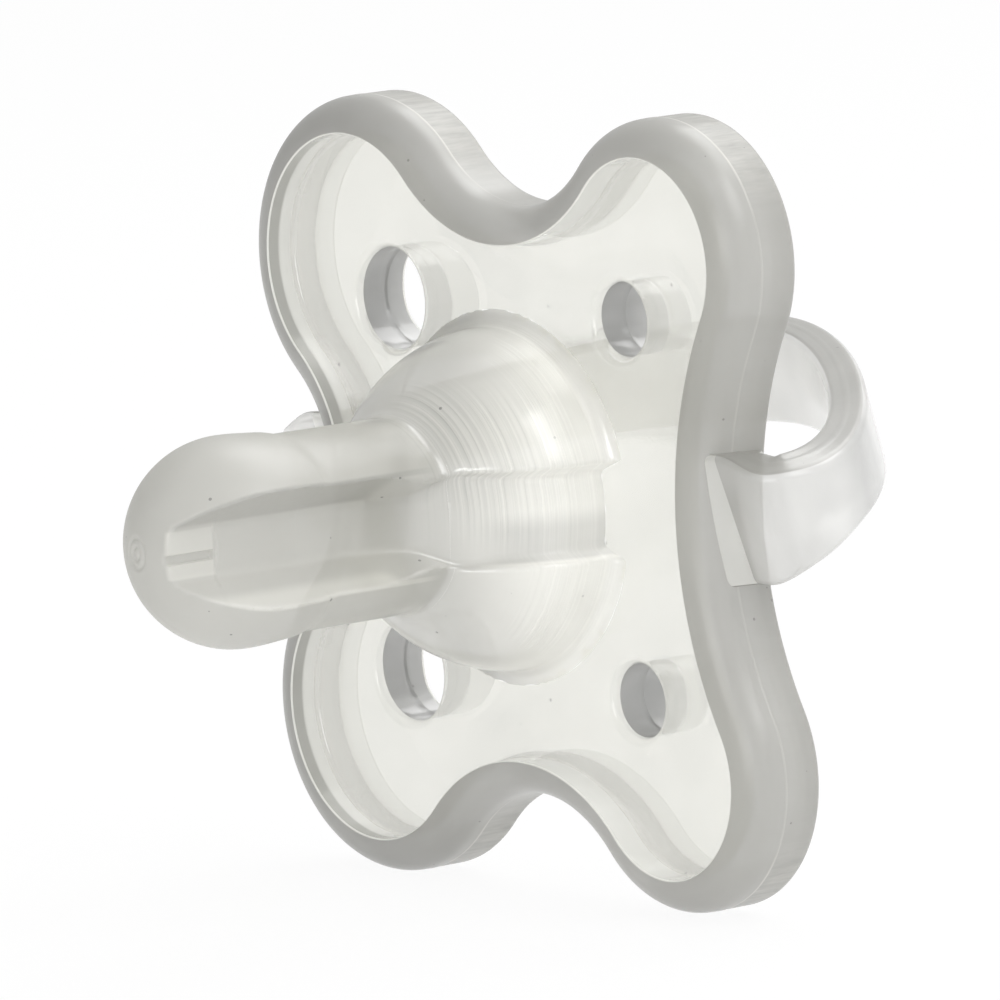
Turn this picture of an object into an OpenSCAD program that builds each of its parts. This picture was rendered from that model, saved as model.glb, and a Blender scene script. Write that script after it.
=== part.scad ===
// One-piece soft pacifier: shield, orthodontic teat and loop handle.
// Frame: the origin lies on the teat axis, on the front face of the shield plate.
// -Y points along the teat into the mouth, +Y to the handle, +Z is up.
// -X is the nose side of the shield and +X the chin side.

/* [Shield outline] */
// Distance from the teat axis to the nose-side lobe centres, across the shield
nose_lobe_x = 12.2; // [11:0.1:15]
// Height of the nose-side lobe centres above and below the teat axis
nose_lobe_z = 14.5; // [13.5:0.1:17]
// Outer radius of the nose-side lobes
nose_lobe_r = 10.5; // [9.5:0.1:12]
// Distance from the teat axis to the chin-side lobe centres, across the shield
chin_lobe_x = 16.5; // [15:0.1:19]
// Height of the chin-side lobe centres above and below the teat axis
chin_lobe_z = 16.0; // [14.5:0.1:18]
// Outer radius of the chin-side lobes
chin_lobe_r = 8.8; // [8:0.1:10.5]
// Radius of the two hollows in the top and bottom edges
side_notch_r = 9.9; // [8.5:0.1:12]
// Radius of the hollow under the nose
nose_notch_r = 8.9; // [8:0.1:11]
// Radius of the shallow hollow over the chin
chin_notch_r = 24.8; // [20:0.1:32]

/* [Shield plate] */
// Thickness of the plate where it meets the rim
plate_t = 3.2; // [2.6:0.1:3.2]
// Height of the bulged back above the plate's edge
bulge_h = 3.0; // [1.5:0.1:4]
// Radius at which the bulged back has faded out
bulge_reach = 23; // [20:0.5:25]
// Width of the flat margin between the rim and the bulged back
margin_w = 1.0; // [0.6:0.1:2]

/* [Rim] */
// Width of the raised rim
rim_w = 2.3; // [1.8:0.1:2.8]
// Height of the rim in front of the plate
rim_front = 2.2; // [1.8:0.1:3]
// Depth of the rim behind the plate's front face
rim_back = 3.3; // [3.2:0.1:4.5]
// Width of the crisp land left beside the rounded front of the rim
rim_land = 0.1; // [0.1:0.05:0.5]
// Radius of the rim's rear outer edge
rim_back_round = 0.5; // [0.2:0.05:0.8]

/* [Vent holes] */
// Radius of the nose-side vent holes
nose_vent_r = 3.3; // [2.8:0.05:3.5]
// Shift of a nose-side hole from its lobe's centre, across the shield
nose_vent_dx = 1.26; // [0.6:0.02:1.8]
// Shift of a nose-side hole from its lobe's centre, towards the teat axis
nose_vent_dz = 2.53; // [1:0.02:2.8]
// Radius of the chin-side vent holes
chin_vent_r = 2.35; // [2:0.05:2.8]
// Shift of a chin-side hole from its lobe's centre, across the shield
chin_vent_dx = 4.66; // [3.5:0.02:5]
// Shift of a chin-side hole from its lobe's centre, towards the teat axis
chin_vent_dz = 4.03; // [3:0.02:4.4]
// Radius of the rounded mouth of each hole
vent_lip = 0.6; // [0.3:0.05:0.9]

/* [Teat] */
// Overall length of the teat from the plate to its tip
teat_len = 28.75; // [26:0.05:32]
// Radius of the domed root of the teat
dome_r = 10.95; // [9.5:0.05:11.5]
// Radius of the flare between the dome and the plate
dome_flare = 1.0; // [0.5:0.1:1.2]
// Radius of the neck
neck_r = 6.2; // [5.6:0.05:6.5]
// Distance from the plate to the crease where the bulb starts
neck_end = 18.6; // [16:0.1:19]
// Radius of the bulb
bulb_r = 6.65; // [6.6:0.05:7.2]

/* [Teat groove] */
// Width of the round-bottomed groove along the chin side of the teat
groove_w = 6.4; // [5:0.1:7]
// Distance of the groove's lowest line from the teat axis
groove_floor = 2.1; // [1.8:0.1:3]
// Depth of the groove over the domed root
groove_dome_t = 1.4; // [0.8:0.1:2]

/* [Handle roots] */
// Thickness of the chin-side root pad, outwards from the rim
chin_pad_t = 0.95; // [0.8:0.05:1.8]
// Thickness of the nose-side root pad, outwards from the rim
nose_pad_t = 1.4; // [1.3:0.05:2.2]
// Lip of each pad around the end of the strap
pad_lip = 0.05; // [0:0.05:0.3]

/* [Loop handle] */
// Thickness of the strap where it meets a root pad
root_t = 4.2; // [3.6:0.1:4.6]
// Width of the strap where it meets a root pad
root_w = 7.4; // [6.6:0.1:8.4]
// Thickness of the strap in its side bends
side_t = 2.8; // [2.2:0.1:3.2]
// Width of the strap in its side bends
side_w = 5.0; // [4.4:0.1:6.4]
// Thickness of the strap at the back of the loop
back_t = 2.3; // [1.8:0.1:3]
// Width of the strap at the back of the loop
back_w = 6.8; // [5.6:0.1:8]
// Distance from the hinge line to the outer face at the back
loop_reach = 22.2; // [20:0.1:26]
// Length of the curve's tangent at the roots, which sets the side bulge
loop_bulge = 15.6; // [13:0.1:16]
// Length of the curve's tangent at the back, which sets its flatness
loop_crown = 12.8; // [10:0.1:14]
// Radius of the strap's long edges
strap_round = 0.5; // [0.3:0.05:0.8]
// Upward tilt of the loop at rest
rest_tilt = 16; // [0:1:30]

/* [Hidden] */
$fn = 96;

// Centres of the outline's circles, in the plane of the shield (across, up).
nose_lobe = [-nose_lobe_x, nose_lobe_z];
chin_lobe = [chin_lobe_x, chin_lobe_z];
nose_notch = [-nose_lobe_x - across(nose_lobe_r + nose_notch_r, nose_lobe_z), 0];
chin_notch = [chin_lobe_x + across(chin_lobe_r + chin_notch_r, chin_lobe_z), 0];
side_notch = meet(nose_lobe, nose_lobe_r + side_notch_r, chin_lobe, chin_lobe_r + side_notch_r);

// Innermost points of the two end hollows, and the seats of the handle on them.
chin_apex = chin_notch[0] - chin_notch_r;
nose_apex = nose_notch[0] + nose_notch_r;
chin_seat = chin_apex + chin_pad_t;
nose_seat = nose_apex - nose_pad_t;

// The hinge line of the handle runs across the shield through both pads.
hinge_y = rim_back - pad_lip - root_t / 2;
loop_mid = (chin_seat + nose_seat) / 2;

// Rounding of the rim's front, and where the dome hands over to the neck.
rim_round = rim_w - rim_land;
neck_start = across(dome_r, neck_r);
bulb_mid = teat_len - bulb_r;

// Remaining leg of a right triangle.
function across(long, leg) = sqrt(long * long - leg * leg);

// Upper meeting point of two circles.
function meet(a, ra, b, rb) =
    let (d = norm(b - a), u = (b - a) / d, s = (ra * ra - rb * rb + d * d) / (2 * d))
    a + s * u + across(ra, s) * [-u[1], u[0]];

// Direction from one point to another, in degrees.
function heading(a, b) = atan2(b[1] - a[1], b[0] - a[0]);

// The same point or arc below the teat axis.
function below(p) = [p[0], -p[1]];

// Points of an arc round c from angle a0 to a1.
function arc(c, r, a0, a1, n) = [for (i = [0:n]) c + r * [cos(a0 + (a1 - a0) * i / n),
                                                          sin(a0 + (a1 - a0) * i / n)]];

// Stations along one arc of the outline: a point and the direction into the shield.
// Side is 1 in a hollow and -1 on a lobe.
function stations(c, r, a0, a1, side, n) = [for (i = [1:n]) let (a = a0 + (a1 - a0) * i / n)
    [c + r * [cos(a), sin(a)], side * [cos(a), sin(a)]]];

// Upper half of the outline, from the nose-side apex to the chin-side apex.
a_nose = heading(nose_notch, nose_lobe);
a_side0 = heading(side_notch, nose_lobe) + 360;
a_side1 = heading(side_notch, chin_lobe) + 360;
a_chin = heading(chin_notch, chin_lobe);
upper_half = concat(
    [[[nose_apex, 0], [1, 0]]],
    stations(nose_notch, nose_notch_r, 0, a_nose, 1, 7),
    stations(nose_lobe, nose_lobe_r, a_nose + 180, a_side0 - 180, -1, 26),
    stations(side_notch, side_notch_r, a_side0, a_side1, 1, 14),
    stations(chin_lobe, chin_lobe_r, a_side1 - 180, a_chin - 180, -1, 22),
    stations(chin_notch, chin_notch_r, a_chin, 180, 1, 8));
outline = concat(upper_half,
    [for (i = [len(upper_half) - 2:-1:1]) [for (v = upper_half[i]) below(v)]]);

// The outline set in by a distance.
function inset(d) = [for (s = outline) s[0] + d * s[1]];

// Section of the rim: distance inwards from the outline, then depth.
function rim_section() = concat(
    arc([rim_round, rim_round - rim_front], rim_round, 180, 270, 7),
    [[rim_w, -rim_front], [rim_w, rim_back]],
    arc([rim_back_round, rim_back - rim_back_round], rim_back_round, 90, 180, 2));

// Section of the groove: distance from the axis, then across.
function groove_section() = concat(
    arc([groove_floor + groove_w / 2, 0], groove_w / 2, 270, 90, 18),
    [[2 * dome_r, groove_w / 2], [2 * dome_r, -groove_w / 2]]);

// Smooth step from 0 to 1.
function ease(x) = let (c = max(0, min(1, x))) c * c * (3 - 2 * c);

// Value along half the loop: at the root, in the side bend and at the back.
function along(root, side, back, t) = t < 0.4
    ? root + (side - root) * ease(t / 0.4)
    : side + (back - side) * ease((t - 0.4) / 0.6);

// Outer curve of half the loop, from the root (t = 0) to the back (t = 1).
function loop_knots() = let (h = chin_seat - loop_mid) [
    [h, -root_t / 2], [h + loop_bulge, -root_t / 2], [loop_crown, loop_reach], [0, loop_reach]];
function bezier(k, t) = pow(1 - t, 3) * k[0] + 3 * t * pow(1 - t, 2) * k[1]
    + 3 * t * t * (1 - t) * k[2] + t * t * t * k[3];
function slope(k, t) = let (v = pow(1 - t, 2) * (k[1] - k[0]) + 2 * t * (1 - t) * (k[2] - k[1])
    + t * t * (k[3] - k[2])) v / norm(v);

// Section of the strap with rounded long edges: inwards, then across.
function strap_section(th, wd) = let (r = strap_round, a = wd / 2 - r) concat(
    arc([r, -a], r, 180, 270, 3), arc([th - r, -a], r, 270, 360, 3),
    arc([th - r, a], r, 0, 90, 3), arc([r, a], r, 90, 180, 3));

// One ring of the strap. Side is 1 on the chin half and -1 on the nose half.
function strap_ring(t, side) =
    let (p = bezier(loop_knots(), t), v = slope(loop_knots(), t), n = [-v[1], v[0]])
    [for (q = strap_section(along(root_t, side_t, back_t, t), along(root_w, side_w, back_w, t)))
        [loop_mid + side * (p[0] + n[0] * q[0]), p[1] + n[1] * q[0], q[1]]];

// Turns the shield's plane upright: drawn flat, its thickness runs along +Y.
module upright() {
    rotate([-90, 0, 0]) children();
}

// Flat solid with the shield's outline, set in from the outer edge.
module outline_solid(d, z0, z1) {
    translate([0, 0, z0]) linear_extrude(z1 - z0) polygon(inset(d));
}

module shield_rim() {
    sec = rim_section();
    n = len(sec);
    m = len(outline);
    color("#b9b9b2") upright() polyhedron(
        points = [for (s = outline) for (q = sec)
            [s[0][0] + q[0] * s[1][0], s[0][1] + q[0] * s[1][1], q[1]]],
        faces = [for (i = [0:m - 1]) for (j = [0:n - 1]) let (u = (i + 1) % m, k = (j + 1) % n)
            [i * n + j, i * n + k, u * n + k, u * n + j]]);
}

// Vent hole with a rounded front mouth.
module vent(x, z, r) {
    translate([x, z, 0]) rotate_extrude()
        polygon(concat([[0, -1], [r + vent_lip, -1]],
                       arc([r + vent_lip, vent_lip], vent_lip, 270, 180, 4),
                       [[r, plate_t + bulge_h + 1], [0, plate_t + bulge_h + 1]]));
}

// Low round bulge that fades out at bulge_reach.
module bulge() {
    rotate_extrude() polygon(concat([[0, plate_t - 0.5], [bulge_reach, plate_t - 0.5]],
        [for (i = [16:-1:0]) [bulge_reach * i / 16, plate_t + bulge_h * (1 - i * i / 256)]]));
}

module shield_plate() {
    color("#e6e6e0") upright() difference() {
        union() {
            outline_solid(rim_w, 0, plate_t);
            intersection() {
                outline_solid(rim_w + margin_w, plate_t - 0.5, plate_t + bulge_h + 1);
                bulge();
            }
        }
        for (m = [1, -1]) {
            vent(nose_vent_dx - nose_lobe_x, m * (nose_lobe_z - nose_vent_dz), nose_vent_r);
            vent(chin_lobe_x - chin_vent_dx, m * (chin_lobe_z - chin_vent_dz), chin_vent_r);
        }
    }
}

// Pad on the rim's outer wall, out to a flat seat. Inner lies inside the rim.
module root_pad(seat, inner) {
    w = root_w + 2 * pad_lip;
    t = root_t + 2 * pad_lip;
    difference() {
        translate([min(seat, inner), -w / 2, hinge_y - t / 2]) cube([abs(seat - inner), w, t]);
        outline_solid(0, -rim_front - 1, rim_back + 1);
    }
}

module handle_root_chin() {
    color("#c9c9c3") upright() root_pad(chin_seat, chin_apex - rim_w / 2);
}

module handle_root_nose() {
    color("#c9c9c3") upright() root_pad(nose_seat, nose_apex + rim_w / 2);
}

// Straight groove along the chin side of the teat.
module groove() {
    translate([0, 0, -teat_len - 1]) linear_extrude(teat_len + 2) polygon(groove_section());
}

module teat_dome() {
    flare_x = across(dome_r + dome_flare, dome_flare);
    flare_a = atan2(dome_flare, flare_x);
    top_a = acos(neck_r / dome_r);
    color("#dcdcd8") upright() difference() {
        rotate_extrude() polygon(concat([[0, 0]],
            arc([flare_x, -dome_flare], dome_flare, 90, 180 - flare_a, 5),
            [for (i = [1:16]) let (a = flare_a + (top_a - flare_a) * i / 16)
                dome_r * [cos(a), -sin(a)]],
            [[0, -neck_start]]));
        difference() {
            groove();
            sphere(r = dome_r - groove_dome_t);
        }
    }
}

module teat_neck() {
    color("#cfcfca") upright() difference() {
        translate([0, 0, -neck_end]) cylinder(h = neck_end - neck_start, r = neck_r);
        groove();
    }
}

module teat_bulb() {
    back_a = asin(min(1, (bulb_mid - neck_end) * 0.6 / bulb_r));
    color("#c9c9c4") upright() difference() {
        rotate_extrude() polygon(concat([[0, -neck_end], [neck_r, -neck_end]],
            [for (i = [0:20]) let (a = back_a - (90 + back_a) * i / 20)
                [bulb_r * cos(a), bulb_r * sin(a) - bulb_mid]]));
        groove();
    }
}

module handle_loop() {
    steps = 26;
    rings = concat([for (i = [0:steps]) strap_ring(i / steps, 1)],
                   [for (i = [steps - 1:-1:0]) strap_ring(i / steps, -1)]);
    n = len(rings[0]);
    m = len(rings);
    faces = concat([[for (j = [0:n - 1]) j]],
        [for (i = [0:m - 2]) for (j = [0:n - 1]) let (k = (j + 1) % n)
            [i * n + j, (i + 1) * n + j, (i + 1) * n + k, i * n + k]],
        [[for (j = [n - 1:-1:0]) (m - 1) * n + j]]);
    color("#d8d8d2") translate([0, hinge_y, 0]) rotate([rest_tilt, 0, 0])
        polyhedron(points = [for (r = rings) for (p = r) p], faces = faces);
}

shield_plate();
shield_rim();
handle_root_chin();
handle_root_nose();
teat_dome();
teat_neck();
teat_bulb();
handle_loop();
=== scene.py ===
"""Looks of a soft pacifier moulded in one piece from milky clear silicone.

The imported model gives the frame. Each region of the moulding is built again here as a
closed mesh with its fillets, parting lines and flash, and gets a translucent finish.
Sizes are in millimetres until a mesh is made; Blender's unit is the metre, and so is the
unit of every place in a node group.
"""

from __future__ import annotations

import logging
import math
from dataclasses import dataclass
from enum import Enum
from typing import Callable, Sequence

import bmesh
import bpy
import numpy as np
from mathutils import Matrix, Vector
from mathutils.geometry import delaunay_2d_cdt

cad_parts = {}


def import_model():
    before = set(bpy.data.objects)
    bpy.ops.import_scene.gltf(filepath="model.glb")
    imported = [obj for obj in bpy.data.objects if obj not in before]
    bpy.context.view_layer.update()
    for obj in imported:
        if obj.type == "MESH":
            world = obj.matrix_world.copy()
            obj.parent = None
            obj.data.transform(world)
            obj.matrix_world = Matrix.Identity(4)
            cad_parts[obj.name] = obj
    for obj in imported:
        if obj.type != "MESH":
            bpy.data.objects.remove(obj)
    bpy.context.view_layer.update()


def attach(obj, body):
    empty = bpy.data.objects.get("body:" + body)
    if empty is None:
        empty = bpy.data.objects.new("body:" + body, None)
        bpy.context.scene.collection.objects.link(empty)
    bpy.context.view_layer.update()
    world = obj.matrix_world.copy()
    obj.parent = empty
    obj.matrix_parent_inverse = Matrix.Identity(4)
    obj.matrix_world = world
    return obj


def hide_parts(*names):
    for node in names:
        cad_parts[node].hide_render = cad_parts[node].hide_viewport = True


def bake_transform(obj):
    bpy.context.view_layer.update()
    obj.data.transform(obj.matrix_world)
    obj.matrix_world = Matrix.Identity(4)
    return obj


LOG = logging.getLogger("pacifier")
Array = np.ndarray
Faces = list[list[int]]
Pair = tuple[float, float]
Place = tuple[float, float, float]
Socket = bpy.types.NodeSocket

MM = 0.001
# Edges that turn by more than this many degrees stay crisp.
CRISP = 50.0
# Turns a place in the teat's field, where the second axis runs out of the plate, to -Y.
FLIP = np.array([1.0, -1.0, 1.0])


class Face(Enum):
    """Which material slot a face takes: the finish, a clear join, the trim, which is painted light
    or shade, or the painted highlight.
    """

    SKIN = 0
    JOIN = 1
    TRIM = 2
    FRONT = 3


class End(Enum):
    """End of the loop handle; its value is its direction across the shield."""

    CHIN = 1.0
    NOSE = -1.0


# ---------------------------------------------------------------------------
# Shapes shared by the pieces
# ---------------------------------------------------------------------------


def arc(centre: Sequence[float], radius: float, start: float, stop: float, count: int) -> Array:
    """Points of an arc, angles in degrees, both ends included."""
    turn = np.radians(np.linspace(start, stop, count + 1))
    return np.array(centre) + radius * np.stack([np.cos(turn), np.sin(turn)], axis=1)


def ease(value: Array) -> Array:
    """Smooth step from 0 to 1."""
    clipped = np.clip(value, 0.0, 1.0)
    return clipped * clipped * (3.0 - 2.0 * clipped)


def leg(long: float, short: float) -> float:
    """Remaining leg of a right triangle."""
    return math.sqrt(long * long - short * short)


def sag(radius: float, place: Array) -> Array:
    """How far a quarter round has dropped where it is this far from its edge."""
    return radius - np.sqrt(radius ** 2 - (radius - np.clip(place, 0.0, radius)) ** 2)


def heading(start: Array, stop: Array) -> float:
    """Direction from one point to another, in degrees."""
    return math.degrees(math.atan2(stop[1] - start[1], stop[0] - start[0]))


def round_union(first: Array, second: Array, radius: float) -> Array:
    """Union of two distance fields with a concave fillet."""
    inner = np.hypot(np.maximum(radius - first, 0.0), np.maximum(radius - second, 0.0))
    return np.maximum(radius, np.minimum(first, second)) - inner


def round_meet(first: Array, second: Array, radius: float) -> Array:
    """Intersection of two distance fields with a rounded edge."""
    outer = np.hypot(np.maximum(radius + first, 0.0), np.maximum(radius + second, 0.0))
    return np.minimum(-radius, np.maximum(first, second)) + outer


def bridge(near: Sequence[int], far: Sequence[int]) -> Faces:
    """Quads between two closed loops with as many points each."""
    after = [*range(1, len(near)), 0]
    return [[near[i], near[j], far[j], far[i]] for i, j in enumerate(after)]


def sweep(rows: int, across: int, closed: bool = False) -> Faces:
    """Quads between the rings of a swept section.

    Args:
        rows: Number of rings.
        across: Number of points in a ring.
        closed: Whether the last ring joins the first.

    Returns:
        The quads, ring after ring, each run in the section's order.
    """
    rings = [range(row * across, (row + 1) * across) for row in range(rows)]
    if closed:
        rings.append(rings[0])
    return [face for near, far in zip(rings, rings[1:]) for face in bridge(near, far)]


def strips(first: int, stop: int, across: int, steps: Sequence[int]) -> list[int]:
    """Indices of the swept faces, from first to stop, at some steps of the section."""
    return [face for face in range(first, stop) if (face - first) % across in steps]


def new_object(name: str, points: Array, faces: Faces, joins: Sequence[int] = (),
               trims: Sequence[int] = (), highlights: Sequence[int] = (),
               crisp: float = CRISP) -> bpy.types.Object:
    """Makes a smooth-shaded mesh object.

    Args:
        name: The piece's name.
        points: Vertices in millimetres, one row each.
        faces: Lists of vertex indices.
        joins: Indices of the faces that lie where the moulding runs on.
        trims: Indices of the faces that take the region's trim finish, which is painted light or
            shade.
        highlights: Indices of the faces that take the region's painted highlight finish.
        crisp: Edges that turn by more than this many degrees stay crisp.

    Returns:
        The object, linked to the scene.
    """
    mesh = bpy.data.meshes.new(name)
    mesh.from_pydata((np.asarray(points) * MM).tolist(), [], faces)
    marks = np.zeros(len(mesh.polygons), dtype=np.int32)
    for kind, chosen in ((Face.TRIM, trims), (Face.FRONT, highlights), (Face.JOIN, joins)):
        marks[list(chosen)] = kind.value
    mesh.polygons.foreach_set("material_index", marks)
    build = bmesh.new()
    build.from_mesh(mesh)
    bmesh.ops.recalc_face_normals(build, faces=build.faces)
    build.to_mesh(mesh)
    build.free()
    return finished(mesh, crisp)


def finished(mesh: bpy.types.Mesh, crisp: float) -> bpy.types.Object:
    """Shades a mesh smooth but for its crisp edges and links it as an object.

    Args:
        mesh: The mesh, whose name the object takes.
        crisp: Edges that turn by more than this many degrees stay crisp.

    Returns:
        The object.
    """
    mesh.polygons.foreach_set("use_smooth", np.ones(len(mesh.polygons), dtype=bool))
    mesh.set_sharp_from_angle(angle=math.radians(crisp))
    mesh.update()
    piece = bpy.data.objects.new(mesh.name, mesh)
    bpy.context.scene.collection.objects.link(piece)
    return piece


@dataclass
class Outline:
    """Butterfly outline of the shield: four lobes and four hollows, all tangent arcs."""

    nose_lobe: Pair = (-12.2, 14.5)
    nose_lobe_r: float = 10.5
    chin_lobe: Pair = (16.5, 16.0)
    chin_lobe_r: float = 8.8
    side_notch_r: float = 9.9
    nose_notch_r: float = 8.9
    chin_notch_r: float = 24.8
    spacing: float = 0.42
    batch: int = 4000

    def __post_init__(self) -> None:
        """Works out the hollows' centres and the stations round the outline."""
        nose, chin = np.array(self.nose_lobe), np.array(self.chin_lobe)
        near, far = self.nose_lobe_r + self.side_notch_r, self.chin_lobe_r + self.side_notch_r
        gap = float(np.linalg.norm(chin - nose))
        along = (near * near - far * far + gap * gap) / (2.0 * gap)
        unit = (chin - nose) / gap
        self.side = nose + along * unit + leg(near, along) * np.array([-unit[1], unit[0]])
        self.nose = np.array([nose[0] - leg(self.nose_lobe_r + self.nose_notch_r, nose[1]), 0.0])
        self.chin = np.array([chin[0] + leg(self.chin_lobe_r + self.chin_notch_r, chin[1]), 0.0])
        a_nose = heading(self.nose, nose)
        a_side = heading(self.side, nose) + 360.0
        b_side = heading(self.side, chin) + 360.0
        a_chin = heading(self.chin, chin)
        rows = [
            (self.nose, self.nose_notch_r, 0.0, a_nose, 1.0),
            (nose, self.nose_lobe_r, a_nose + 180.0, a_side - 180.0, -1.0),
            (self.side, self.side_notch_r, a_side, b_side, 1.0),
            (chin, self.chin_lobe_r, b_side - 180.0, a_chin - 180.0, -1.0),
            (self.chin, self.chin_notch_r, a_chin, 180.0, 1.0),
        ]
        points, inward = [np.array([[self.nose_apex, 0.0]])], [np.array([[1.0, 0.0]])]
        for centre, radius, start, stop, side in rows:
            count = max(6, round(radius * abs(math.radians(stop - start)) / self.spacing))
            part = arc(centre, radius, start, stop, count)[1:]
            points.append(part)
            inward.append(side * (part - centre) / radius)
        upper, turn = np.concatenate(points), np.concatenate(inward)
        mirror = np.array([1.0, -1.0])
        self.points = np.concatenate([upper, upper[-2:0:-1] * mirror])
        self.inward = np.concatenate([turn, turn[-2:0:-1] * mirror])

    @property
    def nose_apex(self) -> float:
        """Innermost point of the hollow under the nose."""
        return float(self.nose[0] + self.nose_notch_r)

    @property
    def chin_apex(self) -> float:
        """Innermost point of the hollow over the chin."""
        return float(self.chin[0] - self.chin_notch_r)

    def inset(self, depth: float) -> Array:
        """The outline set in by a distance."""
        return self.points + depth * self.inward

    def depth(self, points: Array) -> Array:
        """How far inside the outline each point lies, to the nearest station.

        Args:
            points: Places in the shield's plane, one row each.

        Returns:
            The depths, below zero outside the outline.
        """
        best = np.full(len(points), np.inf)
        sign = np.ones(len(points))
        for low in range(0, len(points), self.batch):
            part = slice(low, low + self.batch)
            gap = points[part, None, :] - self.points[None, :, :]
            far = np.einsum("ijk,ijk->ij", gap, gap)
            near = far.argmin(axis=1)
            rows = np.arange(len(near))
            best[part] = np.sqrt(far[rows, near])
            sign[part] = np.sign(np.einsum("ij,ij->i", gap[rows, near], self.inward[near]))
        return best * sign


# ---------------------------------------------------------------------------
# Finishes
# ---------------------------------------------------------------------------


class Nodes:
    """Small helper that adds and links nodes in a tree."""

    def __init__(self, tree: bpy.types.NodeTree) -> None:
        """Keeps the tree."""
        self.tree = tree

    def put(self, target: Socket, value: object) -> None:
        """Links a socket to an input, or sets a constant on it.

        Args:
            target: The input.
            value: A socket, or the constant.
        """
        if isinstance(value, bpy.types.NodeSocket):
            self.tree.links.new(value, target)
        else:
            target.default_value = value

    def add(self, kind: str, **values: object) -> bpy.types.Node:
        """Adds a node and sets its properties and inputs.

        Args:
            kind: The node's type.
            **values: Each property's or input's value, with _ for a space in its name.

        Returns:
            The node.
        """
        node = self.tree.nodes.new(kind)
        for key, value in values.items():
            if hasattr(node, key):
                setattr(node, key, value)
            else:
                self.put(node.inputs[key.replace("_", " ")], value)
        return node

    def math(self, kind: str, *values: Socket | float) -> Socket:
        """Adds a Math node.

        Args:
            kind: Its operation.
            *values: Its operands.

        Returns:
            Its output.
        """
        node = self.add("ShaderNodeMath", operation=kind)
        for target, value in zip(node.inputs, values):
            self.put(target, value)
        return node.outputs[0]

    def times(self, first: Socket, *others: Socket | float) -> Socket:
        """Product of two or more values."""
        for other in others:
            first = self.math("MULTIPLY", first, other)
        return first

    def times_plus(self, first: Socket, second: Socket | float, third: Socket | float) -> Socket:
        """First times second, plus third."""
        return self.math("MULTIPLY_ADD", first, second, third)

    def minus(self, first: Socket | float, second: Socket | float) -> Socket:
        """First less second."""
        return self.math("SUBTRACT", first, second)

    def remap(self, value: Socket, low: float, high: float, to_low: float,
              to_high: float) -> Socket:
        """Smooth run between two values, held beyond them.

        Args:
            value: What the run follows.
            low: Where it starts; this may be more than high.
            high: Where it ends.
            to_low: Its value at the start.
            to_high: Its value at the end.

        Returns:
            The run's value.
        """
        node = self.add("ShaderNodeMapRange", interpolation_type="SMOOTHSTEP", Value=value,
                        From_Min=low, From_Max=high, To_Min=to_low, To_Max=to_high)
        return node.outputs["Result"]

    def rise(self, value: Socket, start: float, full: float, top: float = 1.0) -> Socket:
        """Smooth run from 0 to a top value."""
        return self.remap(value, start, full, 0.0, top)

    def fall(self, value: Socket, full: float, end: float) -> Socket:
        """Smooth run from 1 to 0."""
        return self.remap(value, full, end, 1.0, 0.0)

    def split(self, place: Socket) -> tuple[Socket, Socket, Socket]:
        """X, Y and Z of a place."""
        return tuple(self.add("ShaderNodeSeparateXYZ", Vector=place).outputs)

    def shared(self, name: str, make: Callable[[], bpy.types.NodeTree], place: Socket,
               **values: float) -> bpy.types.bpy_prop_collection:
        """Adds a shared node group, which is made the first time it is asked for.

        Args:
            name: The group's name.
            make: Function that makes it.
            place: The place that it reads.
            **values: Its inputs' values.

        Returns:
            The group node's outputs.
        """
        tree = bpy.data.node_groups.get(name) or make()
        return self.add("ShaderNodeGroup", node_tree=tree, Position=place, **values).outputs


def new_material(name: str) -> tuple[bpy.types.Material, Nodes, bpy.types.Node]:
    """Makes a material.

    Args:
        name: Its name.

    Returns:
        The material, its tree's helper and its shader.
    """
    made = bpy.data.materials.new(name)
    made.use_nodes = True
    return made, Nodes(made.node_tree), made.node_tree.nodes["Principled BSDF"]


class Group:
    """A node group that reads a place, with float inputs and outputs."""

    def __init__(self, name: str, inputs: dict[str, float], outputs: Sequence[str]) -> None:
        """Makes the group with its sockets.

        Args:
            name: Its name.
            inputs: Each input's name and default value.
            outputs: Each output's name.
        """
        self.tree = bpy.data.node_groups.new(name, "ShaderNodeTree")
        sockets = self.tree.interface
        sockets.new_socket("Position", in_out="INPUT", socket_type="NodeSocketVector")
        for key, value in inputs.items():
            socket = sockets.new_socket(key, in_out="INPUT", socket_type="NodeSocketFloat")
            socket.default_value = value
        for key in outputs:
            sockets.new_socket(key, in_out="OUTPUT", socket_type="NodeSocketFloat")
        self.nodes = Nodes(self.tree)
        self.given = self.nodes.add("NodeGroupInput").outputs
        self.results = self.nodes.add("NodeGroupOutput").inputs

    def put_out(self, **values: Socket) -> bpy.types.NodeTree:
        """Links the results.

        Args:
            **values: Each output's value.

        Returns:
            The group's tree.
        """
        for key, value in values.items():
            self.nodes.put(self.results[key], value)
        return self.tree


def clouding_group() -> bpy.types.NodeTree:
    """Slow milky clouding of the silicone, with a finer mottle on top.

    Returns:
        The group.
    """
    made = Group("milky_clouding", {"Cloud Size": 160.0, "Mottle Size": 2600.0},
                 ["Cloud", "Mottle"])
    cloud, mottle = (
        made.nodes.add("ShaderNodeTexNoise", Vector=made.given["Position"],
                       Scale=made.given[size], Detail=detail, Roughness=0.55).outputs["Fac"]
        for size, detail in (("Cloud Size", 2.0), ("Mottle Size", 3.0)))
    return made.put_out(Cloud=cloud, Mottle=mottle)


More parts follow.
